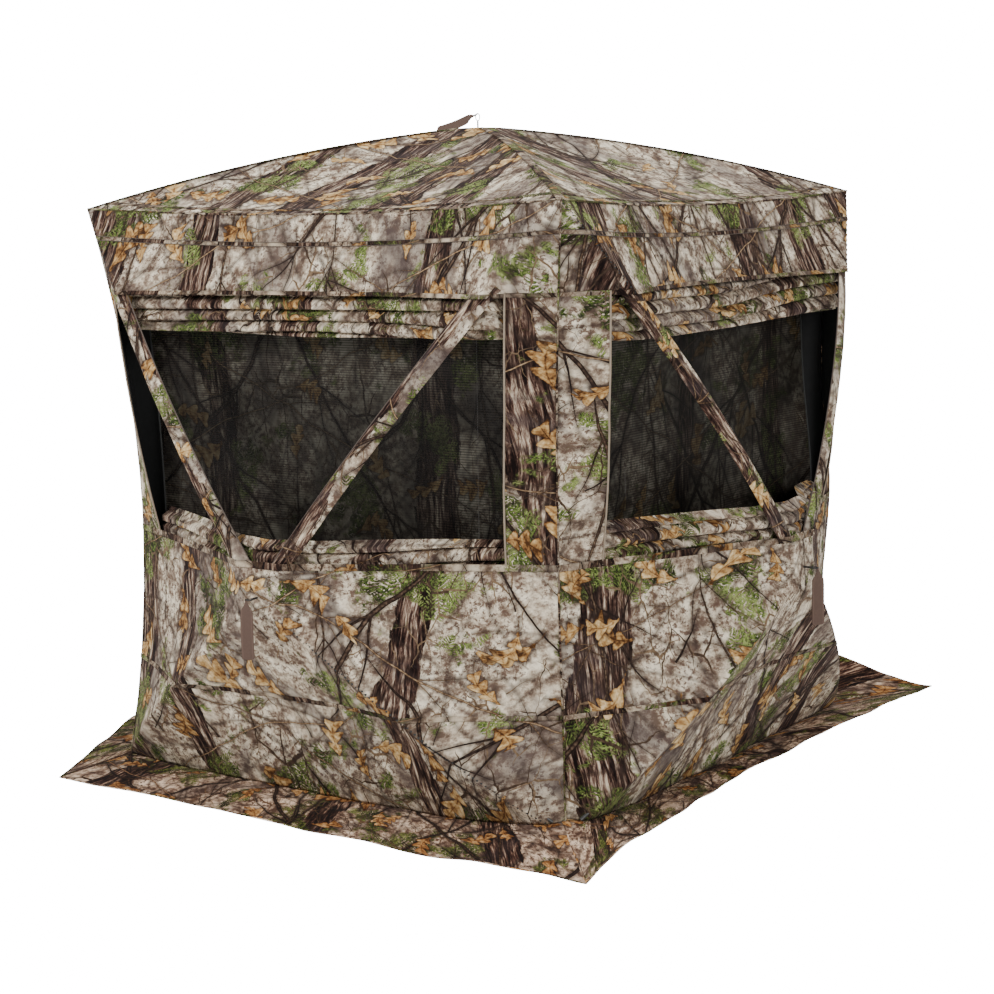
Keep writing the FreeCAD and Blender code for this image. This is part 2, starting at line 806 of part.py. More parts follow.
fill_sheet(SIZES)
parts = build()
check(parts)
os.makedirs("parts", exist_ok=True)
for item in parts:
    item.Shape.exportStep(f"parts/{item.Label}.step")
    box = item.Shape.BoundBox
    print(f"{item.Label}: {len(item.Shape.Solids)} solids, {item.Shape.Volume / 1000:.1f} cm3, "
          f"x {box.XMin:.0f} {box.XMax:.0f} y {box.YMin:.0f} {box.YMax:.0f} z {box.ZMin:.0f} {box.ZMax:.0f}")
print_joints()
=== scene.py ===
import math

import bpy
import numpy as np
from mathutils import Matrix, Vector


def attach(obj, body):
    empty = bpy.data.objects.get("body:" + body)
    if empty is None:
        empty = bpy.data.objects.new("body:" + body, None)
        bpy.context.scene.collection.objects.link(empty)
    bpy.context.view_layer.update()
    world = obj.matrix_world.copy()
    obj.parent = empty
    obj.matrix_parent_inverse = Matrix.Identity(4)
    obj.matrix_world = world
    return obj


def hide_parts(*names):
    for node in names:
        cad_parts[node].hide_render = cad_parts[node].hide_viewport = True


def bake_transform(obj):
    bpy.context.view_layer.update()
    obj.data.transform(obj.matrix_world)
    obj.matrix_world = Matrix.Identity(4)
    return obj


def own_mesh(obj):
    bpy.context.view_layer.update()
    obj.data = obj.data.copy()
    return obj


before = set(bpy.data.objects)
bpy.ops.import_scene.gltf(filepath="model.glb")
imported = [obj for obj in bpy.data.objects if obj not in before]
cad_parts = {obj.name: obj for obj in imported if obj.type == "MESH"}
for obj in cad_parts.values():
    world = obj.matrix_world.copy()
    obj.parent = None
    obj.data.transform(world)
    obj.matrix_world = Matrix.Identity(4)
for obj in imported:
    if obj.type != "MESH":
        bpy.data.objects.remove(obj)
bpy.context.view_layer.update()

# ---------- sizes, metres; a wall has its own frame: u along it, n outward, z up
BASE, TOP, TALL, PEAK = 0.865, 0.900, 1.800, 2.0321
HUB_N, HUB_Z, OPENING = 1.178, 0.668, 0.070
SILL, HEAD, STRIP, BAND = 0.770, 1.535, 0.150, 0.335
UP = math.atan2(TALL - HUB_Z, TOP)
LOW = math.atan2(HUB_Z - 0.002, BASE)
YAW = {"front": 0, "right": 90, "back": 180, "left": 270}
WINDOWS = ("front", "right", "left")
DOOR_CORNERS = ((0.700, 0.9378, 0.2010), (0.700, 0.9619, 1.4569), (0.142, 1.1385, 0.6928))
PRINT_START = {"front": (2.17, 1.35), "right": (15.75, 1.35), "back": (13.11, 4.06), "left": (17.48, 5.42)}
SEED = {"front": 1, "right": 2, "back": 3, "left": 4, "roof": 5}
FOOT_BULGE = {"front": 0.052, "right": 0.012, "back": 0.025, "left": 0.025}
NEAR_CORNER = {"front": BASE, "right": -BASE}


# ---------- noise, rows and grids
def lattice(i, j, seed):
    k = (i * 374761393 + j * 668265263 + seed * 1442695041) & 0xFFFFFFFF
    k = ((k ^ (k >> 13)) * 1274126177) & 0xFFFFFFFF
    return ((k ^ (k >> 16)) & 0xFFFF) / 32767.5 - 1


def noise(x, y, seed=0, octaves=1):
    """Smooth noise from -1 to 1 on arrays."""
    x, y = np.broadcast_arrays(np.asarray(x, float), np.asarray(y, float))
    total, size = np.zeros(x.shape), 1.0
    for _ in range(octaves):
        i, j = np.floor(x).astype(np.int64), np.floor(y).astype(np.int64)
        fx, fy = x - i, y - j
        fx, fy = fx * fx * (3 - 2 * fx), fy * fy * (3 - 2 * fy)
        low = lattice(i, j, seed) * (1 - fx) + lattice(i + 1, j, seed) * fx
        high = lattice(i, j + 1, seed) * (1 - fx) + lattice(i + 1, j + 1, seed) * fx
        total += size * (low * (1 - fy) + high * fy)
        x, y, size, seed = x * 2.03, y * 2.03, size * 0.5, seed + 17
    return total


def smooth(value, low, high):
    t = np.clip((value - low) / (high - low), 0, 1)
    return t * t * (3 - 2 * t)


def bell(offset, width):
    return np.exp(-((offset / width) ** 2))


def joined(*coordinates):
    """Coordinates given apart, joined into one array of points."""
    return np.stack(np.broadcast_arrays(*coordinates), -1)


def ways(cols, rows):
    """Shares from 0 to 1 across a grid and down it."""
    return np.linspace(0, 1, cols)[None], np.linspace(0, 1, rows)[:, None]


def unit(vectors):
    return vectors / np.maximum(np.linalg.norm(vectors, axis=-1, keepdims=True), 1e-12)


def run_length(points):
    """Distance from the first point, or from the first row of a grid."""
    step = np.linalg.norm(np.diff(points, axis=0), axis=-1)
    return np.concatenate([0 * step[:1], np.cumsum(step, axis=0)])


def polyline(corners, count):
    """Evenly spaced points along straight lines between the corners."""
    corners = np.array(corners, float)
    step = run_length(corners)
    at = np.linspace(0, step[-1], count)
    return np.interp(at, step, corners[:, 0]), np.interp(at, step, corners[:, 1])


# ---------- shape of the taut walls
def corner_half(z):
    f = np.clip(np.asarray(z, float) / TALL, 0, 1)
    return BASE + (TOP - BASE) * f - 0.071 * 4 * f * (1 - f)


def eave(f):
    """u, n, z of the eave, f from 0 to 1 along a wall."""
    swell = 4 * f * (1 - f)
    return (2 * f - 1) * TOP, TOP - 0.050 * swell, TALL - 0.030 * swell


def rim(u, rise):
    """Share of the way to the wall's edge, the edge's n, and how far that is from a pole."""
    u = np.maximum(np.abs(u), 1e-6)
    hit = np.array(rise, float)
    for _ in range(14):
        half = corner_half(HUB_Z + hit)
        hit = rise * half / u
    on_side = (hit >= -HUB_Z) & (hit <= TALL - HUB_Z)
    f = np.clip((HUB_Z + hit) / TALL, 0, 1)
    share, edge, a = u / half, half, 4 * f * (1 - f)
    out = u.copy()
    up = np.where(rise > 1e-6, rise, 1)
    for _ in range(14):
        f = (np.minimum(out / TOP, 1) + 1) / 2
        _, edge_n, z = eave(f)
        out = u * (z - HUB_Z) / up
    top = ~on_side & (rise > 0)
    share = np.where(top, rise / (z - HUB_Z), share)
    edge = np.where(top, edge_n, edge)
    a = np.where(top, 4 * f * (1 - f), a)
    low = ~on_side & (rise <= 0)
    f = np.clip((u * HUB_Z / np.maximum(-rise, 1e-6) / BASE + 1) / 2, 0, 1)
    share = np.where(low, -rise / HUB_Z, share)
    edge = np.where(low, BASE, edge)
    a = np.where(low, 4 * f * (1 - f), a)
    return share, edge, a


def wall_base(u, z):
    """n of the taut wall at (u, z) and its way t from the hub to the edge."""
    u, z = np.broadcast_arrays(np.asarray(u, float), np.asarray(z, float))
    rise = z - HUB_Z
    reach = np.hypot(u, rise)
    share, edge, a = rim(u, rise)
    span = reach / np.maximum(share, 1e-6)
    t = np.clip((reach - OPENING) / np.maximum(span - OPENING, 1e-6), 0, 1)
    t = np.where(reach <= OPENING, 0, t)
    bow = (0.050 * (1 - a) - 0.010 * a) * 4 * t * (1 - t)
    return HUB_N + (edge - HUB_N) * t + bow, t


def pole_gap(u, z):
    """Distance from (u, z) to the nearest pole line."""
    rise = z - HUB_Z
    angle = np.where(rise > 0, UP, -math.atan2(HUB_Z, BASE))
    return np.abs(rise * np.cos(angle) - np.abs(u) * np.sin(angle))


def foot_lift(name, u):
    """How far the foot of a wall is off the ground: the near corner stands on its own folds."""
    rise = 0.006 + 0.004 * noise(u * 5, 0.5, SEED[name])
    if name in NEAR_CORNER:
        rise = rise + 0.030 * bell(u - NEAR_CORNER[name], 0.22)
    return rise


def door_plane(u, z):
    """n of the flat door at (u, z) of the back wall."""
    a, b, c = np.array(DOOR_CORNERS)
    normal = np.cross(b - a, c - a)
    return a[1] - (normal[0] * (u - a[0]) + normal[2] * (z - a[2])) / normal[1]


def wall_at(name, u, z):
    """Visible surface of a wall at (u, z): points in the wall's frame and the hub's share."""
    u, z = np.broadcast_arrays(np.asarray(u, float), np.asarray(z, float))
    n, t = wall_base(u, z)
    seed = SEED[name] * 31
    angle = np.arctan2(z - HUB_Z, u)
    inside = np.sin(math.pi * np.clip(t, 0, 1))
    near_pole = bell(pole_gap(u, z), 0.040)
    fold = noise(angle * 5.5 + 40, t * 1.6, seed, 2) * 0.0065 * inside * (1 - 0.8 * near_pole)
    crumple = noise(u * 6, z * 9, seed + 5, 3) * 0.0020 * smooth(t, 0.05, 0.3) * (1 - 0.7 * near_pole)
    crumple = crumple + 0.0045 * near_pole * inside
    low = smooth(z, 0.42, 0.02)
    foot = np.cos(np.clip(u / corner_half(z), -1, 1) * math.pi / 2) ** 0.7
    hang = low * foot * (FOOT_BULGE[name] + 0.006 * noise(u * 9, z * 2 + 3, seed + 9, 2))
    n = n + fold + crumple + hang - 0.0035 * bell(z - BAND, 0.016) * foot
    if name == "back":
        hinge = bell(u - 0.706, 0.055) * smooth(z, 0.16, 0.24) * smooth(z, 1.50, 1.42)
        n = n + (door_plane(u, z) - n) * hinge
    if name in NEAR_CORNER:
        tuck = 0.022 * bell(u - NEAR_CORNER[name], 0.06) * smooth(z, 0.40, 0.0)
        n = n - tuck
        u = u - np.sign(u) * tuck
    return np.stack([u, n, z], -1), 1 - t


def place(name, points):
    """Wall frame to row frame; the far right corner stands straighter than the other three."""
    turn = math.radians(YAW[name])
    u, n, z = points[..., 0], points[..., 1], points[..., 2]
    x, y = u * math.cos(turn) + n * math.sin(turn), u * math.sin(turn) - n * math.cos(turn)
    rise = 0.046 * bell(z - 0.80, 0.36) * smooth(z / TALL, 0.0, 0.2) - 0.008 * bell(z - 1.55, 0.15)
    push = rise * bell(np.hypot(x - 0.83, y - 0.83), 0.26)
    return np.stack([x + push, y + push, z], -1)


def outward(name):
    turn = math.radians(YAW[name])
    return np.array([math.sin(turn), -math.cos(turn), 0.0])


# ---------- cloth meshes
class Cloth:
    """Grids of points gathered into one mesh with a printed face, a lining and rims."""

    def __init__(self, name, thick=0.0014):
        self.name, self.thick, self.count = name, thick, 0
        self.co, self.print, self.share, self.faces, self.slots = [], [], [], [], []

    def add(self, points, flat, share=None, out=(0, 0, 1), wrap=False, lined=True):
        rows, cols = points.shape[:2]
        share = np.zeros((rows, cols)) if share is None else np.broadcast_to(share, (rows, cols))
        along = np.gradient(points, axis=1)
        if wrap:
            along = (np.roll(points, -1, 1) - np.roll(points, 1, 1)) / 2
        normal = unit(np.cross(along, np.gradient(points, axis=0)))
        if not wrap and (normal @ np.asarray(out, float)).mean() < 0:
            points, flat, share, normal = points[:, ::-1], flat[:, ::-1], share[:, ::-1], -normal[:, ::-1]
        index = np.arange(rows * cols).reshape(rows, cols)
        right = np.roll(index, -1, 1) if wrap else index[:, 1:]
        left = index if wrap else index[:, :-1]
        outer = np.stack([left[:-1], right[:-1], right[1:], left[1:]], -1).reshape(-1, 4)
        start, lining = self.count, rows * cols
        self.push(points, flat, share, outer, 0)
        if not lined:
            return
        self.push(points - normal * self.thick, flat, share, outer[:, ::-1], 1)
        for line in (index[0], index[:, -1], index[-1][::-1], index[:, 0][::-1]):
            here, following = line[:-1] + start, line[1:] + start
            self.faces.append(np.stack([here + lining, following + lining, following, here], -1))
            self.slots.append(np.full(len(here), 2))

    def lay(self, name, points, flat, share=None, **more):
        """Adds a grid given in a wall's own frame."""
        self.add(place(name, points), flat, share, out=outward(name), **more)

    def push(self, points, flat, share, faces, slot):
        self.co.append(points.reshape(-1, 3))
        self.print.append(np.asarray(flat, float).reshape(-1, flat.shape[-1])[:, :2])
        self.share.append(np.asarray(share, float).reshape(-1))
        self.faces.append(faces + self.count)
        self.slots.append(np.full(len(faces), slot))
        self.count += points.shape[0] * points.shape[1]

    def build(self, *materials):
        co = np.concatenate(self.co)
        faces = np.concatenate(self.faces)
        slots = np.concatenate(self.slots)
        mesh = bpy.data.meshes.new(self.name)
        mesh.from_pydata(co, [], faces)
        for material in materials:
            mesh.materials.append(material)
        lining_slot = len(materials) - 1
        mesh.polygons.foreach_set("material_index", np.where(slots == 1, lining_slot, 0).astype(np.int32))
        mesh.polygons.foreach_set("use_smooth", slots < 2)
        mesh.validate()
        flat = np.concatenate(self.print)
        data = mesh.attributes.new("cloth", "FLOAT_VECTOR", "POINT").data
        data.foreach_set("vector", np.column_stack([flat, np.zeros(len(flat))]).astype(np.float32).ravel())
        obj = bpy.data.objects.new(self.name, mesh)
        bpy.context.scene.collection.objects.link(obj)
        return obj

    def ride(self, body, slot, *materials):
        """The finished piece, carried whole by one body."""
        obj = self.build(*materials)
        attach(obj, body)
        return obj

    def bend(self, hub, *materials):
        """The finished piece, with its placement baked into its points; the hub is not used."""
        obj = self.build(*materials)
        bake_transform(obj)
        return obj


def tube(name, lines, radius):
    """Round cords of thread or piping swept along point rows."""
    piece, sides = Cloth(name), 8
    turn = np.linspace(0, 2 * math.pi, sides, endpoint=False)
    for line, share in lines:
        along = unit(np.gradient(line, axis=0))
        guide = (0.0, 0.0, 1.0) if abs(along[:, 2]).mean() < 0.8 else (1.0, 0.0, 0.0)
        side = unit(np.cross(along, guide))
        over = np.cross(side, along)
        ring = (side[:, None] * np.cos(turn)[:, None] + over[:, None] * np.sin(turn)[:, None]) * radius
        flat = joined(run_length(line)[:, None], turn[None] * radius)
        weight = np.reshape(share, (-1, 1))
        piece.add((line[:, None] + ring)[:, ::-1], flat[:, ::-1], weight, wrap=True, lined=False)
    return piece


# ---------- shader helpers
class Value:
    """A value inside a node tree; numbers and vectors take the usual signs of arithmetic."""

    def __init__(self, shader, socket):
        self.shader, self.socket = shader, socket

    def sign(self, operation, a, b):
        kind = "ShaderNodeMath" if self.socket.type == "VALUE" else "ShaderNodeVectorMath"
        return self.shader.made(kind, (a, b), operation=operation)

    def __add__(self, other):
        return self.sign("ADD", self, other)

    def __sub__(self, other):
        return self.sign("SUBTRACT", self, other)

    def __rsub__(self, other):
        return self.sign("SUBTRACT", other, self)

    def __mul__(self, other):
        return self.sign("MULTIPLY", self, other)

    def __truediv__(self, other):
        return self.sign("DIVIDE", self, other)

    def __abs__(self):
        return self.shader.m("ABSOLUTE", self)


class Shader:
    """Short names for building a node tree."""

    def __init__(self, tree):
        self.tree = tree

    def node(self, kind, **props):
        made = self.tree.nodes.new(kind)
        for key, value in props.items():
            setattr(made, key, value)
        return made

    def put(self, value, socket):
        if isinstance(value, Value):
            self.tree.links.new(value.socket, socket)
            return
        if socket.type == "VECTOR" and isinstance(value, float):
            value = (value, value, value)
        if socket.type == "RGBA" and len(value) == 3:
            value = (*value, 1)
        socket.default_value = value

    def fill(self, node, **values):
        """Sets inputs by name, with _ for each space."""
        for key, value in values.items():
            self.put(value, node.inputs[key.replace("_", " ")])

    def made(self, kind, values, **props):
        """The first output of a new node with these inputs."""
        node = self.node(kind, **props)
        for value, socket in zip(values, node.inputs):
            self.put(value, socket)
        return Value(self, node.outputs[0])

    def m(self, operation, *values, clamp=False):
        return self.made("ShaderNodeMath", values, operation=operation, use_clamp=clamp)

    def split(self, vector):
        node = self.node("ShaderNodeSeparateXYZ")
        self.put(vector, node.inputs[0])
        return [Value(self, output) for output in node.outputs]

    def join(self, x, y):
        return self.made("ShaderNodeCombineXYZ", (x, y))

    def noise(self, vector, scale, detail=2.0, rough=0.5, warp=0.0, colour=False, dimensions="2D"):
        node = self.node("ShaderNodeTexNoise", noise_dimensions=dimensions)
        self.fill(node, Vector=vector, Scale=scale, Detail=detail, Roughness=rough, Distortion=warp)
        return Value(self, node.outputs[1 if colour else 0])

    def wander(self, vector, scale, detail):
        """A vector that strays either way from zero."""
        return self.noise(vector, scale, detail, colour=True) - (0.5, 0.5, 0.5)

    def cells(self, vector, scale, feature="F1", random=1.0):
        node = self.node("ShaderNodeTexVoronoi", voronoi_dimensions="2D", feature=feature)
        self.fill(node, Vector=vector, Scale=scale, Randomness=random)
        return {output.name: Value(self, output) for output in node.outputs}

    def step(self, value, low, high):
        return self.made("ShaderNodeMapRange", (value, low, high, 0.0, 1.0), interpolation_type="SMOOTHSTEP")

    def ramp(self, value, *stops):
        node = self.node("ShaderNodeValToRGB")
        self.put(value, node.inputs[0])
        band = node.color_ramp
        band.elements[0].position, band.elements[0].color = stops[0][0], (*stops[0][1], 1)
        band.elements[1].position, band.elements[1].color = stops[-1][0], (*stops[-1][1], 1)
        for position, colour in stops[1:-1]:
            band.elements.new(position).color = (*colour, 1)
        return Value(self, node.outputs[0])

    def mix(self, share, a, b):
        node = self.node("ShaderNodeMix", data_type="RGBA")
        for value, key in ((share, 0), (a, 6), (b, 7)):
            self.put(value, node.inputs[key])
        return Value(self, node.outputs[2])

    def turned(self, vector, angle):
        node = self.node("ShaderNodeVectorRotate", rotation_type="Z_AXIS")
        self.fill(node, Vector=vector, Angle=angle)
        return Value(self, node.outputs[0])

    def bump(self, height, distance, strength=1.0):
        node = self.node("ShaderNodeBump")
        self.fill(node, Height=height, Distance=distance, Strength=strength)
        return Value(self, node.outputs[0])


# ---------- the woodland print
def branches(s, p, angle, spacing, bend, thick, fork, seed):
    """A family of long branches with side shoots: how deep inside one a point is."""
    x, y, _ = s.split(s.turned(p + (seed * 1.7, seed * 0.9, 0), angle))
    row = y / spacing
    number = s.m("FLOOR", row)
    sway = s.noise(s.join(x * 1.5, number * 7.31), 1.0, 4.0, 0.45)
    across = (s.m("FRACT", row) - 0.5) * spacing - (sway - 0.5) * bend
    life = s.noise(s.join(x * 0.8, number * 3.17), 1.0, 1.0)
    width = s.m("MINIMUM", (life - 0.42) * (thick * 9), thick)
    inside = width - abs(across)
    for way, turn in ((1.0, 0.62), (-1.0, 0.50)):
        start = (s.m("FRACT", x / fork + (0.5 * way + 0.21 * seed)) - 0.12) * fork
        side = (across * way - (start * math.tan(turn) - start * start * 0.9)) * math.cos(turn)
        shoot = s.m("MINIMUM", width, thick * 0.8) * (0.72 - start / (fork * 0.75))
        shoot = shoot * s.m("GREATER_THAN", start, 0.0)
        inside = s.m("MAXIMUM", inside, shoot - abs(side))
    return inside


def leaves(s, p, size, spacing, chance, seed):
    """Scattered oak leaves: mask, colour along the blade, and a halo for the shade below."""
    moved = p + (seed * 2.3, seed * 1.1, 0)
    cell = s.cells(moved, 1 / spacing, random=0.85)
    turn, pick, tint = s.split(cell["Color"])
    x, y, _ = s.split(s.turned(moved - cell["Position"], turn * 6.283) * (1 / size))
    y = y + x * x * 0.30
    side = abs(y)
    along = x - side * 0.70
    lobe = s.m("POWER", abs(s.m("SINE", along * 5.0 + 0.9)), 1.25)
    round_end = s.m("SQRT", s.m("MAXIMUM", 1.0 - along * along, 0.0))
    half = round_end * (lobe * 0.46 + 0.13) * (along * 0.25 + 0.85)
    gap = side - half + (s.noise(p, 120.0, 1.0) - 0.5) * 0.12
    keep = s.m("LESS_THAN", pick, chance)
    mask = s.step(gap, 0.03, -0.02) * keep
    halo = s.step(gap, 0.34, 0.0) * keep
    ribs = s.step(s.m("SINE", (x - side * 0.9) * 20.0), 0.5, 1.0)
    veins = s.m("MAXIMUM", s.step(side, 0.045, 0.0), ribs * 0.4)
    tone = s.noise(p, 42.0, 3.0, 0.65) * 1.25 + tint * 0.22 - 0.16 + y * 0.20
    tone = tone - veins * 0.20 - s.step(gap, -0.09, 0.01) * 0.24
    colour = s.ramp(tone, (0.22, (0.14, 0.076, 0.036)), (0.42, (0.38, 0.245, 0.125)),
                    (0.60, (0.58, 0.435, 0.245)), (0.90, (0.85, 0.74, 0.53)))
    return mask, colour, halo


def sprigs(s, p, size, seed):
    """Cedar-like green fronds: mask and colour."""
    moved = p + (seed * 1.9, seed * 2.7, 0)
    cell = s.cells(moved, 1 / size)
    turn = s.split(cell["Color"])[0]
    x, y, _ = s.split(s.turned(moved - cell["Position"], turn * 2.6 - 2.2) * (1 / size))
    side = abs(y)
    jitter = s.noise(p, 85.0, 3.0, 0.6)
    stroke = s.m("SINE", (x - side * 0.8) * 30.0 - jitter * 9.0)
    reach = (0.62 - abs(x) * 0.55) * (jitter * 1.2 + 0.35) - side
    mask = s.step(reach, 0.0, 0.10) * s.step(stroke, -0.75, -0.15)
    tone = stroke * 0.24 + jitter * 1.05 + (s.noise(p, 9.0, 2.0) - 0.5) * 0.9
    colour = s.ramp(tone, (0.26, (0.030, 0.038, 0.022)), (0.50, (0.105, 0.140, 0.055)),
                    (0.68, (0.22, 0.29, 0.105)), (0.98, (0.46, 0.53, 0.27)))
    return mask, colour


def lichened_ground(s, p, q):
    """Pale mottled ground with dark flecks and smoky patches."""
    ground = s.ramp(s.noise(p, 16.0, 8.0, 0.72), (0.36, (0.24, 0.190, 0.160)), (0.445, (0.48, 0.420, 0.36)),
                    (0.515, (0.74, 0.69, 0.60)), (0.63, (0.92, 0.89, 0.80)))
    fleck = s.step(s.noise(p, 62.0, 6.0, 0.75), 0.515, 0.565)
    fleck = fleck * s.step(s.noise(p + (3.1, 8.2, 0), 5.2, 3.0), 0.30, 0.55)
    ground = s.mix(fleck * 0.88, ground, (0.22, 0.16, 0.135))
    smoke = s.noise(q * (2.6, 1.1, 1), 2.0, 4.0, 0.55)
    return s.mix(s.step(smoke, 0.53, 0.66) * 0.60, ground, (0.24, 0.205, 0.195))


def trunks(s, p, near):
    """Standing trunks with a ragged outline: mask and bark colour."""
    u = s.split(p)[0]
    lean = (s.noise(p * (0.5, 1.1, 1), 1.0, 2.0) - 0.5) * 0.34
    row = (u + lean) / 0.31
    dice = s.node("ShaderNodeTexWhiteNoise", noise_dimensions="1D")
    s.put(s.m("FLOOR", row), dice.inputs["W"])
    middle, width, pick = s.split(Value(s, dice.outputs["Color"]))
    half = width * 0.18 + 0.12
    ragged = (s.noise(p * (30, 10, 1), 1.0, 5.0, 0.65) - 0.5) * 0.20
    reach = abs(s.m("FRACT", row) - (middle * 0.36 + 0.32)) + ragged
    mask = s.step(reach - half, 0.010, -0.010) * s.m("GREATER_THAN", pick, 0.36)
    groove = s.noise(near * (95, 9, 1), 1.0, 6.0, 0.74, 0.35)
    plate = s.noise(p * (26, 4.5, 1), 1.0, 5.0, 0.66)
    round_side = s.m("POWER", s.m("DIVIDE", reach, half, clamp=True), 2.0)
    tone = groove * 0.72 + plate * 0.34 - round_side * 0.05
    wood = s.ramp(tone, (0.44, (0.026, 0.014, 0.013)), (0.50, (0.110, 0.068, 0.058)),
                  (0.55, (0.245, 0.175, 0.150)), (0.595, (0.46, 0.385, 0.33)), (0.66, (0.80, 0.74, 0.64)))
    return mask, wood


def twigs(s, p, near, colour, scale, thick, gate, tint, seed):
    """A net of thin broken twigs laid over the colour."""
    moved = near + (seed * 1.3, seed * 0.7, 0)
    bent = moved + s.wander(moved, scale * 1.3, 3.0) * (0.32 / scale)
    edge = s.cells(bent * (1.35, 0.65, 1), scale, "DISTANCE_TO_EDGE")["Distance"]
    width = (s.noise(moved, scale * 0.45, 1.0) - gate) * (thick * 16)
    across = edge / s.m("MAXIMUM", width * scale, 1e-4)
    mask = s.step(across, 0.62, 0.38) * s.step(width, 0.0, 0.0012)
    grain = s.noise(p, 120.0, 1.0)
    dark = s.mix(grain, (0.030, 0.019, 0.016), (0.16, 0.115, 0.090))
    pale = s.mix(grain, (0.22, 0.16, 0.11), (0.62, 0.51, 0.38))
    return s.mix(mask, colour, s.mix(tint, dark, pale))


def long_branches(s, p, near, colour, angle, spacing, bend, thick, fork, pale, seed):
    """One family of branches with its own soft shade, laid over the colour."""
    inside = branches(s, near, angle, spacing, bend, thick, fork, seed)
    colour = s.mix(s.step(inside, -0.011, 0.0) * 0.42, colour, (0.085, 0.064, 0.058))
    grain = s.noise(p, 95.0, 3.0) * 0.62 + s.step(inside, 0.0, thick * 0.85) * 0.27
    dark = s.ramp(grain, (0.28, (0.022, 0.013, 0.012)), (0.52, (0.085, 0.060, 0.050)),
                  (0.76, (0.27, 0.205, 0.165)))
    light = s.ramp(grain, (0.28, (0.10, 0.066, 0.046)), (0.50, (0.38, 0.28, 0.19)),
                   (0.76, (0.76, 0.66, 0.50)))
    return s.mix(s.step(inside, -0.0003, 0.0005), colour, s.mix(pale, dark, light))


def print_group():
    """The woodland print: ground, trunks with bark, fronds, branches, twigs and oak leaves."""
    tree = bpy.data.node_groups.new("woodland_print", "ShaderNodeTree")
    tree.interface.new_socket("Vector", in_out="INPUT", socket_type="NodeSocketVector")
    tree.interface.new_socket("Color", in_out="OUTPUT", socket_type="NodeSocketColor")
    s = Shader(tree)
    p = Value(s, s.node("NodeGroupInput").outputs[0])
    soft = s.wander(p, 2.2, 2.0)
    q = p + soft * 0.16
    near = p + soft * 0.07
    trunk, wood = trunks(s, p, near)
    colour = s.mix(trunk, lichened_ground(s, p, q), wood)
    inside = branches(s, q, 0.75, 0.40, 0.22, 0.030, 0.50, 5)
    colour = s.mix(s.step(inside, -0.012, 0.016) * 0.45, colour, (0.13, 0.112, 0.122))
    patch = s.step(s.noise(p + (11.3, 2.9, 0), 3.9, 4.0, 0.6), 0.545, 0.60)
    for size, seed in ((0.070, 1), (0.050, 2)):
        mask, green = sprigs(s, q, size, seed)
        colour = s.mix(mask * patch, colour, green)
    # scale, thickness, gate, paleness, seed
    for family in ((7.5, 0.0021, 0.515, 0.15, 7), (14.0, 0.0014, 0.48, 0.6, 9)):
        colour = twigs(s, p, near, colour, *family)
    # angle, spacing, bend, thickness, distance between forks, paleness, seed
    for family in ((0.98, 0.42, 0.16, 0.0052, 0.44, 0.0, 11), (2.30, 0.50, 0.20, 0.0074, 0.52, 0.05, 13),
                   (1.45, 0.37, 0.14, 0.0042, 0.36, 0.15, 17), (0.42, 0.46, 0.18, 0.0030, 0.30, 0.7, 19),
                   (2.75, 0.36, 0.16, 0.0024, 0.27, 0.9, 23)):
        colour = long_branches(s, p, near, colour, *family)
    # size, spacing, chance, seed
    for family in ((0.074, 0.165, 0.27, 1), (0.056, 0.140, 0.16, 4)):
        mask, blade, halo = leaves(s, q, *family)
        colour = s.mix(halo * 0.50, colour, (0.06, 0.045, 0.04))
        colour = s.mix(mask, colour, blade)
    s.put(colour, s.node("NodeGroupOutput").inputs[0])
    return tree


PRINT = print_group()


# ---------- materials
def new_material(name):
    material = bpy.data.materials.new(name)
    material.use_nodes = True
    return material, Shader(material.node_tree), material.node_tree.nodes["Principled BSDF"]


def cloth_point(s, shift=(0.0, 0.0, 0.0)):
    flat = s.node("ShaderNodeAttribute", attribute_name="cloth")
    return Value(s, flat.outputs["Vector"]) + shift


def print_colour(s, p):
    return s.made("ShaderNodeGroup", (p,), node_tree=PRINT)


def printed(name, gain, contrast, shift=(0.0, 0.0, 0.0), bump=0.5):
    """Printed fabric: the weave, fine crush and slack are in its bump."""
    material, s, shader = new_material(name)
    p = cloth_point(s, shift)
    tone = s.made("ShaderNodeGamma", (print_colour(s, p), contrast))
    height = s.noise(p, 700.0, 1.0) * 0.00012 + s.noise(p, 26.0, 4.0, 0.55) * 0.0022
    height = height + s.noise(p * (1.0, 1.6, 1), 7.0, 3.0) * 0.0075
    s.fill(shader, Base_Color=tone * gain, Roughness=0.82, Specular_IOR_Level=0.10, Sheen_Weight=0.02,
           Sheen_Roughness=0.5, Normal=s.bump(height, 1.0, bump))
    return material


def plain(name, colour, rough=0.6, metal=0.0, grained=False):
    """One colour, slightly mottled; moulded parts may have a fine grain."""
    material, s, shader = new_material(name)
    coords = Value(s, s.node("ShaderNodeTexCoord").outputs["Object"])
    dark, light = (tuple(c * k for c in colour) for k in (0.75, 1.25))
    mottled = s.mix(s.noise(coords, 60.0, dimensions="3D"), dark, light)
    s.fill(shader, Base_Color=mottled, Roughness=rough, Metallic=metal)
    if grained:
        s.fill(shader, Normal=s.bump(s.noise(coords, 300.0, dimensions="3D"), 0.0004))
    return material


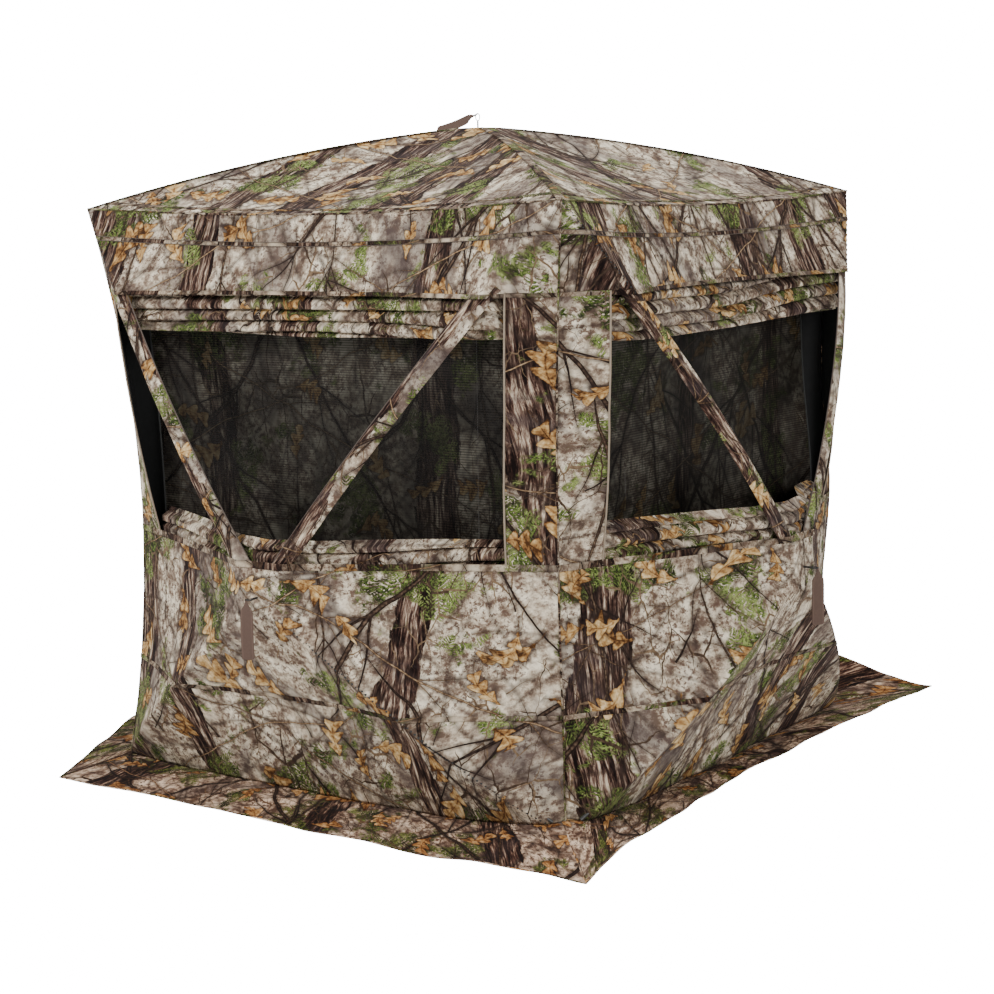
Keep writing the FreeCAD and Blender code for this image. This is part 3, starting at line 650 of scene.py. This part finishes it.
def webbing(name, colour):
    """Ribbed strap: fine ribs across, two woven edges and rows of stitches."""
    material, s, shader = new_material(name)
    p = cloth_point(s)
    u, v, _ = s.split(p)
    shades = [tuple(c * k for c in colour) for k in (0.62, 1.35, 1.8)]
    rib = s.m("SINE", v * (2 * math.pi / 0.0024))
    cross = s.m("SINE", u * (2 * math.pi / 0.0016))
    # painted shade and light: the rib wave darkens the colour in the grooves and lightens the rib tops, over
    # a random tone
    tone = rib * 0.16 + 0.5 + s.noise(p, 220.0, 2.0) * 0.25
    body = s.ramp(tone, (0.30, shades[0]), (0.95, shades[1]))
    thread = s.m("LESS_THAN", abs(abs(u) - 0.0150), 0.0006)
    dash = s.m("LESS_THAN", s.m("FRACT", v / 0.004), 0.62)
    s.fill(shader, Base_Color=s.mix(thread * dash, body, shades[2]), Roughness=0.75, Sheen_Weight=0.03,
           Specular_IOR_Level=0.12, Normal=s.bump(rib + cross * 0.4, 0.00010))
    return material


def netting(name):
    """See-through window mesh: the print laid very dark over fine cross ribs; the darkness is partly the
    netting's own print and partly painted shade of the cabin's inside behind it.
    """
    material, s, shader = new_material(name)
    p = cloth_point(s)
    v = s.split(p)[1]
    rib = s.m("SINE", v * (2 * math.pi / 0.0075)) * 0.5 + 0.5
    # painted shade: the low gain and the near-full alpha make the netting stand in for the shaded inside
    gain = rib * s.step(s.noise(p, 2.6, 3.0), 0.42, 0.62) * 0.075 + 0.055
    netting_ink_and_shade = print_colour(s, p) * (1.0, 0.96, 0.86) * gain + (0.0032, 0.0030, 0.0028)
    s.fill(shader, Base_Color=netting_ink_and_shade, Roughness=0.55, Specular_IOR_Level=0.08, Alpha=rib * 0.05 + 0.93)
    return material


CAMO = printed("camo_print", (1.0, 0.93, 0.85), 1.45)
CAMO_ROLL = printed("camo_roll", (1.0, 0.93, 0.85), 1.45, (3.7, 9.1, 0.0), 0.4)
CAMO_ROOF = printed("camo_roof", (1.05, 0.99, 0.91), 1.45, (5.3, 2.9, 0.0), 0.6)
CAMO_SKIRT = printed("camo_skirt", (1.10, 0.88, 0.78), 1.75, (1.9, 6.4, 0.0), 0.6)
CAMO_TAPE = printed("camo_tape", (0.66, 0.58, 0.50), 1.35, (8.2, 1.3, 0.0), 0.3)
LINING = plain("dark_lining", (0.030, 0.031, 0.030), 0.9)
# painted shade: a near-black sheet for the shaded inside beside the window netting
SHADOW = plain("painted_shade_flap", (0.008, 0.008, 0.008), 0.95)
MESH = netting("window_netting")
PIPING = plain("dark_piping", (0.10, 0.075, 0.06), 0.8)
PIPING_LIGHT = plain("tan_piping", (0.30, 0.235, 0.17), 0.8)
STRAP = webbing("brown_webbing", (0.115, 0.074, 0.058))
BLACK = plain("black_plastic", (0.018, 0.018, 0.018), 0.45, grained=True)
STEEL = plain("blackened_steel", (0.035, 0.035, 0.038), 0.42, 0.8)
ZINC = plain("zinc_steel", (0.50, 0.50, 0.51), 0.35, 0.95)
ROD = plain("glass_fibre", (0.045, 0.045, 0.043), 0.35)
TAPE = plain("zipper_tape", (0.035, 0.032, 0.030), 0.85)


# ---------- walls
def on_print(name, u, z, side=0.0):
    """Where a point of a wall's flat cloth lies on the printed roll."""
    start, height = PRINT_START[name]
    return joined(u + start + side, z + height)


def lay_wall(cloth, name, u, z):
    points, share = wall_at(name, u, z)
    cloth.lay(name, points, on_print(name, u, z), share)


def wall_cloth(title, name, u, z):
    cloth = Cloth(title)
    lay_wall(cloth, name, u, z)
    return cloth.bend(f"{name}_hub", CAMO, LINING)


def hem(title, name, u, z, width, material=CAMO_TAPE, lift=0.0028):
    """A narrow strip sewn over a wall along a row of (u, z) points."""
    u, z = np.broadcast_arrays(u, z)
    du, dz = np.gradient(u), np.gradient(z)
    size = np.hypot(du, dz)
    across = np.linspace(-0.5, 0.5, 5)[:, None] * width
    points, share = wall_at(name, u - dz / size * across, z + du / size * across)
    points[..., 1] += lift + 0.0008 * np.cos(np.linspace(-1.2, 1.2, 5))[:, None]
    flat = joined(run_length(joined(u, z)) + SEED[name] * 2.9, across + SEED[name])
    cloth = Cloth(title, 0.0010)
    cloth.lay(name, points, flat, share)
    return cloth.bend(f"{name}_hub", material, LINING)


def lower_wall(name):
    f, q = ways(170, 84)
    s = 2 * f - 1
    z = foot_lift(name, s * BASE) * (1 - q) + SILL * q
    along = np.linspace(-1, 1, 120)
    sill = hem(f"{name}_sill_hem", name, along * corner_half(SILL), SILL - 0.006, 0.020)
    band = hem(f"{name}_lower_band", name, along * corner_half(BAND), BAND, 0.014)
    obj = wall_cloth(f"{name}_lower_wall", name, s * corner_half(z), z)
    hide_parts(f"{name}_wall")


def valance_rows(name):
    """The felled seam below the eave, a flat band between two rows of stitching."""
    f = np.linspace(0, 1, 120)
    z = eave(f)[2] - 0.088
    u = (2 * f - 1) * corner_half(z)
    rows = [hem(f"{name}_valance_seam", name, u, z, 0.013, lift=0.0020)]
    for index, side in enumerate((-1, 1)):
        title = f"{name}_valance_stitching_{index + 1}"
        rows.append(hem(title, name, u, z + side * 0.0062, 0.0016, PIPING, lift=0.0030))
    return rows


def valance(name):
    """The band above a window, from its head to the eave."""
    f, q = ways(170, 34)
    z = HEAD + (eave(f)[2] - HEAD) * q
    rows = valance_rows(name)
    head = np.linspace(-1, 1, 120) * corner_half(HEAD)
    rows.append(hem(f"{name}_head_hem", name, head, HEAD + 0.005, 0.012))
    obj = wall_cloth(f"{name}_valance", name, (2 * f - 1) * corner_half(z), z)


def corner_strip(name, side, word):
    """A strip that stands away from its corner more at mid height than at its ends."""
    q, rise = ways(14, 64)
    z = SILL - 0.012 + (HEAD - SILL + 0.024) * rise
    half = corner_half(z)
    inner_n, _ = wall_base(side * (half - STRIP), z)
    g = np.clip((z - SILL) / (HEAD - SILL), 0, 1)
    tilt = np.arctan2(inner_n - half, STRIP) + math.radians(17) * 4 * g * (1 - g)
    n = half + STRIP * q * np.sin(tilt) - 0.004 * np.sin(math.pi * q)
    n = n + 0.0012 * noise(z * 9, q * 1.5, SEED[name] * 7 + side, 2)
    points = joined(side * (half - STRIP * q * np.cos(tilt)), n, z)
    share = 1 - wall_base(side * (half - STRIP * q), z)[1]
    edge = tube(f"{name}_strip_edge_{word}", [(place(name, points[:, -1]), share[:, -1])], 0.0030)
    cord = edge.bend(f"{name}_hub", PIPING_LIGHT)
    cloth = Cloth(f"{name}_strip_{word}", 0.0022)
    cloth.lay(name, points, on_print(name, points[..., 0], points[..., 2], side * 1.9), share)
    obj = cloth.bend(f"{name}_hub", CAMO, LINING)


for wall in WINDOWS:
    lower_wall(wall)
    valance(wall)
    corner_strip(wall, -1, "left")
    corner_strip(wall, 1, "right")

# ---------- back wall with its door
HINGE_U, FREE_U, DOOR_GAP = 0.700, 0.142, 0.050
BACK_OUT = outward("back")


def door_low(u, gap):
    return HUB_Z - u * math.tan(LOW) + gap / math.cos(LOW)


def door_high(u, gap):
    return HUB_Z + u * math.tan(UP) - gap / math.cos(UP)


def back_wall():
    """The back wall in four pieces round its door: one on each side, one below, one above."""
    inner, outer, gap, overlap = 0.130, 0.712, 0.045, 0.004

    def foot(u):
        return foot_lift("back", u)

    def top(u):
        return eave((np.clip(u / TOP, -1, 1) + 1) / 2)[2]

    def beside(edge, side, cols):
        """From an edge of the door to the corner on that side."""
        f, q = ways(cols, 90)
        z = foot(edge + (side * BASE - edge) * f) * (1 - q) + top(edge + (side * TOP - edge) * f) * q
        return edge + (side * corner_half(z[:, -1:]) - edge) * f, z

    def between(low, high, rows):
        f, q = ways(60, rows)
        u = inner + (outer - inner) * f
        return u, low(u) + (high(u) - low(u)) * q

    cloth = Cloth("back_wall_cloth")
    lay_wall(cloth, "back", *beside(inner, -1, 100))
    lay_wall(cloth, "back", *beside(outer, 1, 24))
    lay_wall(cloth, "back", *between(foot, lambda u: door_low(u, gap), 44))
    lay_wall(cloth, "back", *between(lambda u: door_high(u, gap), top, 60))
    obj = cloth.bend("back_hub", CAMO, LINING)
    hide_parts("back_wall")
    edge = [(outer, door_low(outer, gap) + overlap), (inner + overlap, door_low(inner, gap) + overlap),
            (inner + overlap, door_high(inner, gap) - overlap), (outer, door_high(outer, gap) - overlap)]
    u, z = polyline(edge, 150)
    tape = hem("back_zipper_tape", "back", u, z, 0.012, TAPE, 0.0020)
    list(valance_rows("back"))


def on_door(x, z):
    """The door's surface: flat along its hinge and as taut as the wall elsewhere."""
    points, _ = wall_at("back", -x, z)
    slack = smooth(-x, 0.700, 0.560)
    return joined(x, door_plane(-x, z) * (1 - slack) + points[..., 1] * slack, z)


def door_tape():
    """The zipper's own half, along the three free sides of the door."""
    edge = [(HINGE_U, door_low(HINGE_U, DOOR_GAP)), (FREE_U, door_low(FREE_U, DOOR_GAP)),
            (FREE_U, door_high(FREE_U, DOOR_GAP)), (HINGE_U, door_high(HINGE_U, DOOR_GAP))]
    u, z = polyline(edge, 200)
    du, dz = np.gradient(u), np.gradient(z)
    size = np.hypot(du, dz)
    across = np.array([-0.003, -0.006, -0.009])[:, None]
    points = on_door(dz / size * across - u, z + du / size * across) + BACK_OUT * 0.0022
    cloth = Cloth("door_zipper_tape", 0.001)
    cloth.add(points, joined(run_length(joined(u, z)), across), out=BACK_OUT)
    return cloth.ride("door", "zipper_tape", TAPE, TAPE)


def door_seam():
    """The sewn seam that the door hangs from."""
    x = np.array([-0.712, -0.709, -0.706, -0.704])[:, None]
    z = np.linspace(door_low(HINGE_U, 0.077), door_high(HINGE_U, 0.077), 60)[None]
    cloth = Cloth("door_seam_cloth", 0.0012)
    cloth.add(on_door(x, z) + BACK_OUT * 0.001, joined(x + 2, z), out=BACK_OUT)
    seam = cloth.ride("door_seam", "zipper_tape", TAPE, TAPE)
    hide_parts("door_seam")
    return seam


def door():
    f, q = ways(70, 90)
    u = FREE_U + (HINGE_U - FREE_U) * f
    low, high = door_low(u, DOOR_GAP), door_high(u, DOOR_GAP)
    z = low + (high - low) * q
    cloth = Cloth("door_cloth")
    cloth.add(on_door(-u, z), joined(21.0 - u, z + 3.0), out=BACK_OUT)
    obj = cloth.ride("door", "camo_fabric", CAMO, LINING)
    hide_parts("door_panel")
    door_tape()
    door_seam()


back_wall()
door()

# ---------- roof
EAVE_F = np.linspace(0, 1, 110)
EAVE_U, EAVE_N, EAVE_Z = eave(EAVE_F)
EAVE_SWELL = 4 * EAVE_F * (1 - EAVE_F)
EAVE_SPAN = np.hypot(EAVE_U, EAVE_N)


def roof_height(t, edge_z, swell):
    """Height of the taut roof on its way t from the hub to the eave."""
    return PEAK + (edge_z - PEAK) * t + (0.030 * (1 - swell) - 0.010 * swell) * 4 * t * (1 - t)


def roof_reach(t):
    return (OPENING + (EAVE_SPAN - OPENING) * t) / EAVE_SPAN


def roof_canopy():
    """Four taut quarters and the disc under the hub."""
    cloth = Cloth("roof_cloth")
    t, r = np.linspace(0, 1, 90)[:, None], np.linspace(0.01, 1, 8)[:, None]
    slack = np.sin(math.pi * t)
    reach = roof_reach(t)
    for name in YAW:
        seed = SEED[name] * 13 + 400
        fold = 0.0045 * noise(EAVE_F * 13 + 3, t * 1.5, seed, 2) * slack * (0.3 + 0.7 * EAVE_SWELL)
        crumple = 0.0015 * noise(EAVE_U * reach * 6, EAVE_N * reach * 6, seed + 3, 3) * slack
        quarter = roof_height(t, EAVE_Z, EAVE_SWELL) + fold + crumple
        shift = SEED[name] * 5.21 + 30
        for way, z, share in ((reach, quarter, 1 - t), (OPENING / EAVE_SPAN * r, PEAK, 1.0)):
            points = joined(EAVE_U * way, EAVE_N * way, z)
            flat = joined(EAVE_U * way + shift, EAVE_N * way * 1.03 + shift * 0.7)
            cloth.add(place(name, points), flat, share)
    obj = cloth.bend("roof_hub", CAMO_ROOF, LINING)
    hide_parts("roof_canopy")


def eave_piping():
    lines = [(place(name, joined(EAVE_U, EAVE_N, EAVE_Z)), 0) for name in YAW]
    tube("eave_piping", lines, 0.0032).ride("root", "camo_fabric", CAMO_TAPE)


def corner_seams():
    z = np.linspace(0.02, TALL, 90)
    lines = [(place(name, wall_at(name, corner_half(z), z)[0]), 0) for name in YAW]
    tube("corner_seams", lines, 0.0026).ride("root", "camo_fabric", CAMO_TAPE)


def roof_tapes():
    """Seam tapes: one along each pole, one inside each eave."""
    tapes = Cloth("roof_seam_tapes", 0.0010)
    inside = np.array([0.942, 0.948, 0.954, 0.960])[:, None]
    t, across = ways(80, 5)
    across = 0.024 * across - 0.012
    r = OPENING + (math.hypot(TOP, TOP) - OPENING) * t
    ridge_z = roof_height(t, TALL, 0) + 0.0014 - np.abs(across) * 0.17
    ridge = joined(math.sqrt(0.5) * (r + across), math.sqrt(0.5) * (r - across), ridge_z)
    for name in YAW:
        reach = roof_reach(inside)
        edge = joined(EAVE_U * reach, EAVE_N * reach, roof_height(inside, EAVE_Z, EAVE_SWELL) + 0.0016)
        tapes.add(place(name, edge), joined(EAVE_U + 50 + SEED[name], inside * 0.9), 1 - inside)
        tapes.add(place(name, ridge), joined(r + 60 + SEED[name], across), 1 - t)
    tapes.bend("roof_hub", CAMO_TAPE, LINING)


roof_canopy()
eave_piping()
corner_seams()
roof_tapes()


# ---------- window mesh
def netting_shade_flaps(name, z):
    """Near-black flaps from the netting's sides to the corners: painted shade that stands in for the shaded
    inside seen in that gap.
    """
    flaps = Cloth(f"{name}_netting_shade_flaps", 0.001)
    r, half = np.linspace(0, 1, 10), corner_half(z)
    for side in (-1, 1):
        u = side * ((half - STRIP + 0.055) * (1 - r) + (half - 0.0015) * r)
        n = 0.796 * (1 - r) + (half - 0.0035) * r - 0.010 * np.sin(math.pi * r)
        flaps.lay(name, joined(u, n, z), joined(u, z))
    return flaps.ride("root", "window_mesh", SHADOW, SHADOW)


def window_mesh(name):
    f, q = ways(90, 60)
    s = 2 * f - 1
    z = SILL - 0.020 + (HEAD - SILL + 0.040) * q
    u = s * (corner_half(z) - STRIP + 0.056)
    n = 0.799 + 0.004 * noise(u * 3, z * 2, SEED[name] * 3, 2) * np.sin(math.pi * q) * (1 - s ** 4)
    points = joined(u, n, z)
    shift = SEED[name] * 6.1 + 11
    cloth = Cloth(f"{name}_netting")
    cloth.lay(name, points, joined(u + shift, z + shift * 0.4), lined=False)
    obj = cloth.ride("root", "window_mesh", MESH)
    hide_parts(f"{name}_window_mesh")
    lines = [(place(name, points[:, end]), 0) for end in (0, -1)]
    edge = tube(f"{name}_netting_edge", lines, 0.0035).ride("root", "window_mesh", LINING)
    netting_shade_flaps(name, z)


# ---------- gathered curtains
ROLL_PITCH, UPPER_DEPTH = 0.034, {"front": 0.112, "right": 0.128, "left": 0.100}
REST_LENGTH = 0.205


def upper_stack(name, u, half, seed):
    """Lower and upper edge of the rolls under a window's head, and how many rolls there are."""
    deep = UPPER_DEPTH[name]
    sag = 0.014 * np.sin(math.pi * (u / half + 1) / 2)
    low = HEAD - deep - sag + 0.010 * noise(u * 2.4, 0.3, seed)
    return low, HEAD + 0.022, deep / ROLL_PITCH


def lower_stack(name, u, half, seed, pinch):
    """The same over a window's sill; the right wall's stack is fuller and thins to the back."""
    full = 0.112 if name == "right" else 0.070
    slim = full * 0.5 * smooth(u, 0.05, half) * (name == "right")
    sag = 0.016 * bell(u, 0.28)
    high = SILL + full - slim + 0.010 * noise(u * 2.1, 0.7, seed) - sag + 0.006 * pinch
    return SILL - 0.020, high, full / ROLL_PITCH + 0.3


def curtain(name, level):
    """A gathered curtain: stacked, wandering rolls in front, and its flat rest tucked away."""
    upper = level == "upper"
    seed = SEED[name] * 101 + (7 if upper else 0)
    base_z = HEAD if upper else SILL
    half = corner_half(base_z) - STRIP + 0.020
    f, p = ways(230, 84)
    u = (2 * f - 1) * half
    wall_n, _ = wall_base(u, base_z)
    front = wall_n - 0.056
    pinch = bell(np.abs(u) - (base_z - HUB_Z) / math.tan(UP), 0.045)
    stack = upper_stack(name, u, half, seed) if upper else lower_stack(name, u, half, seed, pinch)
    low, high, count = stack
    phase = count * p + 0.55 * noise(u * 1.5, p * 0.8, seed + 1, 2)
    across = 2 * (phase - np.floor(phase)) - 1
    roll = np.sqrt(np.maximum(1 - across ** 2, 0)) ** 0.9
    small = noise(u * 3.0 + 9, p * count * 3.2, seed + 2, 2)
    proud = noise(u * 1.3 + 5, np.floor(phase) * 1.7, seed + 4)
    depth = (0.041 + 0.007 * proud + 0.0035 * small) * roll * (1 - 0.50 * pinch)
    ends = smooth(np.minimum(p, 1 - p), 0.0, 0.12)
    n = front + depth * ends + 0.006 * noise(u * 2.2, 0.1, seed + 3)
    n = np.minimum(n, wall_n - 0.0125 - 0.018 * pinch)
    droop = 0.015 * roll * (1 if upper else 0.7) * ends
    points = joined(u, n, low + (high - low) * p - droop)
    length = run_length(points)
    print_u = u + SEED[name] * 3.3
    cloth = Cloth(f"{name}_{level}_rolls", 0.0012)
    cloth.lay(name, points, joined(print_u, length * 1.15 + (2 if upper else 5)))
    tuck = np.linspace(0, 1, 16)[:, None]
    if upper:
        rest_z = HEAD - 0.010 + REST_LENGTH * tuck
        rest_n = wall_base(u, HEAD + 0.19 * tuck)[0] - 0.050 - 0.010 * tuck
        rest_n = np.minimum(rest_n, front - 0.002)
    else:
        rest_z = SILL + 0.030 - REST_LENGTH * tuck
        rest_n = front - 0.006 - 0.022 * tuck
    cloth.lay(name, joined(u, rest_n, rest_z), joined(print_u, rest_z + 7))
    obj = cloth.ride(f"{name}_{level}_curtain", "camo_fabric", CAMO_ROLL, LINING)
    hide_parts(f"{name}_{level}_curtain")
    2 * half
    anchor = place(name, np.array([0.0, 0.855 if upper else 0.84, base_z]))
    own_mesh(obj)


# ---------- pole sleeves across the windows
def sleeve(name, side, word):
    """A flat doubled sleeve round a pole, with a seam along one edge."""
    z = np.linspace(SILL - 0.035, HEAD + 0.040, 90)
    u = (z - HUB_Z) / math.tan(UP)
    line = joined(u, wall_base(u, z)[0] - 0.020, z)
    along = unit(np.gradient(line, axis=0))
    out = unit(np.array([0.0, 1.0, 0.0]) - along * along[:, 1:2])
    across = np.cross(along, out)
    turn = np.linspace(0, 2 * math.pi, 36, endpoint=False)
    wide = 0.0285 + 0.0015 * noise(z * 8, 0.2, SEED[name] * 9 + side)[:, None]
    c, d = np.cos(turn)[None], np.sin(turn)[None]
    crumple = 0.0009 * noise(z[:, None] * 22, turn[None] * 1.2, SEED[name] + 60, 2)
    ridge = d * np.where(d > 0, 0.0085, 0.0075) * np.abs(d) ** 0.15 + crumple
    flatten = np.sign(c) * np.abs(c) ** 0.75
    points = line[:, None] + across[:, None] * (flatten * wide)[..., None] + out[:, None] * ridge[..., None]
    points[..., 0] *= side
    length = np.linspace(0, 1.05, 90)[:, None]
    flat = joined(flatten * 0.03 + 70 + SEED[name] * 2 + side, length + side)
    cloth = Cloth(f"{name}_sleeve_{word}")
    cloth.add(place(name, points)[:, ::-side], flat[:, ::-side], wrap=True, lined=False)
    body = f"{name}_pole_upper_{word}"
    cloth.ride(body, "camo_fabric", CAMO)
    edge = line - out * 0.001 + across * 0.0287
    edge[:, 0] *= side
    tube(f"{name}_sleeve_seam_{word}", [(place(name, edge), 0)], 0.0022).ride(body, "camo_fabric", PIPING)


for wall in WINDOWS:
    window_mesh(wall)
    curtain(wall, "upper")
    curtain(wall, "lower")
    sleeve(wall, 1, "right")
    sleeve(wall, -1, "left")

# ---------- ground skirt
# outer edge of each flap, from the corner where it starts to the corner where it ends
FLAPS = {
    "front": [(-0.86, -1.19), (-0.45, -1.19), (0.10, -1.205), (0.62, -1.215), (1.12, -1.18)],
    "right": [(1.12, -1.18), (1.06, -0.92), (1.03, -0.56), (0.99, -0.05), (1.00, 0.35), (1.03, 0.89),
              (1.06, 1.29)],
    "back": [(1.06, 1.29), (0.72, 1.16), (0.10, 1.10), (-0.60, 1.13), (-1.16, 1.17)],
    "left": [(-1.16, 1.17), (-1.12, 0.55), (-1.15, -0.05), (-1.20, -0.53), (-1.04, -0.82), (-0.95, -1.0),
             (-0.86, -1.19)],
}


def flap(name, corners):
    """One flap of the skirt, mitred at its tips and laid slack on the ground."""
    corners = np.array(corners)
    at = np.linspace(0, run_length(corners)[-1], 150)
    outer = joined(*polyline(corners, 150))
    for _ in range(14):
        outer[1:-1] = (outer[:-2] + outer[2:] + 2 * outer[1:-1]) / 4
    u = (2 * at / at[-1] - 1) * BASE
    calm = smooth(np.minimum(at, at[-1] - at), 0.0, 0.16)
    away = outward(name)
    inner = place(name, wall_at(name, u, foot_lift(name, u))[0]) - away * 0.010
    r = np.linspace(0, 1, 26)[:, None]
    seed = SEED[name] * 57
    wavy = 0.010 * (noise(at * 4.2, 0.4, seed, 2) + 0.4) * r ** 1.5
    slack = np.sin(math.pi * np.clip(r, 0.04, 0.98))
    ripple = 0.0075 * (1 + noise(at[None] * 3.4, r * 2.2, seed + 3, 3)) * slack
    z = 0.0022 + (inner[:, 2] - 0.003) * (1 - r) ** 1.6 + (ripple + np.maximum(wavy, 0)) * calm
    if name == "back":
        z = z + 0.115 * smooth(outer[:, 0], 1.05, 0.66) * smooth(outer[:, 0], 0.10, 0.60) * r ** 1.2
    jog = 0.007 * calm * noise(at * 5, 0.9, seed + 6, 2) * r ** 2
    x, y = (inner[:, k] * (1 - r) + outer[:, k] * r + away[k] * jog for k in (0, 1))
    return joined(x, y, z), joined(at + SEED[name] * 7.7, r * 0.30 + SEED[name] * 1.3)


def skirt():
    cloth = Cloth("skirt_cloth", 0.0016)
    hems = []
    for name, corners in FLAPS.items():
        points, flat = flap(name, corners)
        cloth.add(points, flat)
        hems.append((points[-1] + np.array([0, 0, 0.0004]), 0))
    obj = cloth.ride("root", "skirt_fabric", CAMO_SKIRT, LINING)
    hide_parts("ground_skirt")
    cord = tube("skirt_hem", hems, 0.0024).ride("root", "skirt_fabric", CAMO_SKIRT)


skirt()

# ---------- pull straps
STRAP_LONG, STRAP_HALF, NECK_HALF = 0.176, 0.019, 0.0042
RING_RISE = 0.058 + 0.0115 - 0.0004 - 0.022
STRAP_TWIST = {"front": -25, "right": 50, "back": 12, "left": -20, "roof": 58}


def strap(name):
    """A webbing tail: a narrow neck round the ring that widens to a rounded flat end."""
    s = np.linspace(0, 1, 70)
    widening = smooth(s, 0.015, 0.20)
    end = np.sqrt(1 - np.clip((s - 0.955) / 0.045, 0, 1) ** 2)
    half = (STRAP_HALF * widening + NECK_HALF * (1 - widening)) * (0.25 + 0.75 * end)
    thick = 0.0021 * (0.8 + 0.2 * smooth(s, 0.0, 0.1)) * (0.4 + 0.6 * end)
    turn = np.linspace(0, 2 * math.pi, 40, endpoint=False)
    c, d = np.cos(turn), np.sin(turn)
    x = half[:, None] * (np.sign(c) * np.abs(c) ** 0.35)
    y = thick[:, None] * (np.sign(d) * np.abs(d) ** 0.45)
    if name == "roof":
        curl = -0.0072 * np.sin(s * math.pi)
        tilt = math.radians(17)
        along = np.array([-math.cos(tilt), 0, -math.sin(tilt)])
        face = np.array([-math.sin(tilt), 0, math.cos(tilt)])
        side = np.array([0.0, 1.0, 0.0])
        base = np.array([0, 0, PEAK - 0.0001 + RING_RISE])
    else:
        curl = 0.006 * np.sin(s * 2.6) + 0.0012 * noise(s * 5, 0.3, SEED[name] * 5)
        along, face = np.array([0, 0, -1.0]), outward(name)
        side = np.cross(face, along)
        base = face * (HUB_N + RING_RISE) + np.array([0, 0, HUB_Z])
    lift = y + curl[:, None]
    twist = math.radians(STRAP_TWIST[name]) * smooth(s, 0.02, 0.30)[:, None]
    wide_way = x * np.cos(twist) - lift * np.sin(twist)
    deep_way = x * np.sin(twist) + lift * np.cos(twist)
    down = (s * STRAP_LONG)[:, None] + 0 * x
    points = base + down[..., None] * along + deep_way[..., None] * face + wide_way[..., None] * side
    order = 1 if np.dot(np.cross(side, face), along) < 0 else -1
    cloth = Cloth(f"{name}_strap_cloth")
    cloth.add(points[:, ::order], joined(x, down)[:, ::order], wrap=True, lined=False)
    obj = cloth.ride(f"{name}_strap", "webbing", STRAP)
    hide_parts(f"{name}_pull_strap")


for hub in SEED:
    strap(hub)

# ---------- finishes of the solid pieces
FINISHES = {"hub_core": BLACK, "hub_pins": ZINC, "ring_bolt": STEEL, "zipper_slider": STEEL,
            "stake_tabs": STRAP}


def finish_of(node):
    for ending, finish in FINISHES.items():
        if node.endswith(ending):
            return finish
    return ROD if "_pole_" in node else None


for node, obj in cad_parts.items():
    if finish_of(node):
        obj.data.materials.clear()
        obj.data.materials.append(finish_of(node))


# ---------- floor, light and camera
def seen_directly(s):
    """1 on what the camera sees with nothing see-through in between."""
    path = s.node("ShaderNodeLightPath")
    clear = s.m("LESS_THAN", Value(s, path.outputs["Transparent Depth"]), 0.5)
    return clear * Value(s, path.outputs["Is Camera Ray"])


def pale_floor():
    """The floor glows white round the cabin and stays dark inside it."""
    bpy.ops.mesh.primitive_plane_add(size=60, location=(0, 0, -0.001))
    floor = bpy.context.object
    floor.name = "pale_floor"
    material, s, shader = new_material("pale_floor")
    x, y, _ = s.split(Value(s, s.node("ShaderNodeTexCoord").outputs["Object"]))
    outside = s.m("GREATER_THAN", s.m("MAXIMUM", abs(x), abs(y)), BASE + 0.095)
    s.fill(shader, Base_Color=(0.90, 0.90, 0.90), Roughness=0.9, Emission_Color=(1, 1, 1),
           Emission_Strength=seen_directly(s) * outside * 16.0 + 0.04)
    floor.data.materials.append(material)


def white_world():
    world = bpy.data.worlds.new("studio")
    bpy.context.scene.world = world
    world.use_nodes = True
    s = Shader(world.node_tree)
    strength = seen_directly(s) * 17.0 + 0.42
    s.fill(world.node_tree.nodes["Background"], Color=(1.0, 1.0, 1.0), Strength=strength)


def lamp(name, spot, target, size, power):
    data = bpy.data.lights.new(name, "AREA")
    data.shape, data.size, data.energy = "DISK", size, power
    obj = bpy.data.objects.new(name, data)
    bpy.context.scene.collection.objects.link(obj)
    obj.location = spot
    obj.rotation_euler = (Vector(target) - Vector(spot)).to_track_quat("-Z", "Y").to_euler()


def camera():
    azimuth, height, roll = math.radians(35.04), math.radians(8.49), math.radians(-1.345)
    aim, distance = Vector((0, 0, 0.8054)), 6.8655
    right = Vector((math.cos(azimuth), math.sin(azimuth), 0))
    level = Vector((math.sin(azimuth), -math.cos(azimuth), 0))
    back = level * math.cos(height) + Vector((0, 0, math.sin(height)))
    up = back.cross(right)
    side = right * math.cos(roll) + up * math.sin(roll)
    over = up * math.cos(roll) - right * math.sin(roll)
    data = bpy.data.cameras.new("camera")
    data.lens, data.sensor_width, data.shift_x = 73.62, 36.0, 0.0105
    obj = bpy.data.objects.new("camera", data)
    bpy.context.scene.collection.objects.link(obj)
    turn = Matrix((side, over, back)).transposed().to_4x4()
    obj.matrix_world = Matrix.Translation(aim + back * distance) @ turn
    bpy.context.scene.camera = obj


pale_floor()
white_world()
lamp("key", (-3.0, -6.5, 4.6), (0, 0, 0.9), 2.4, 420)
lamp("fill", (6.8, -3.0, 3.4), (0, 0, 0.9), 2.6, 250)
lamp("top", (0.5, 0.8, 6.5), (0, 0, 1.5), 3.5, 210)
camera()
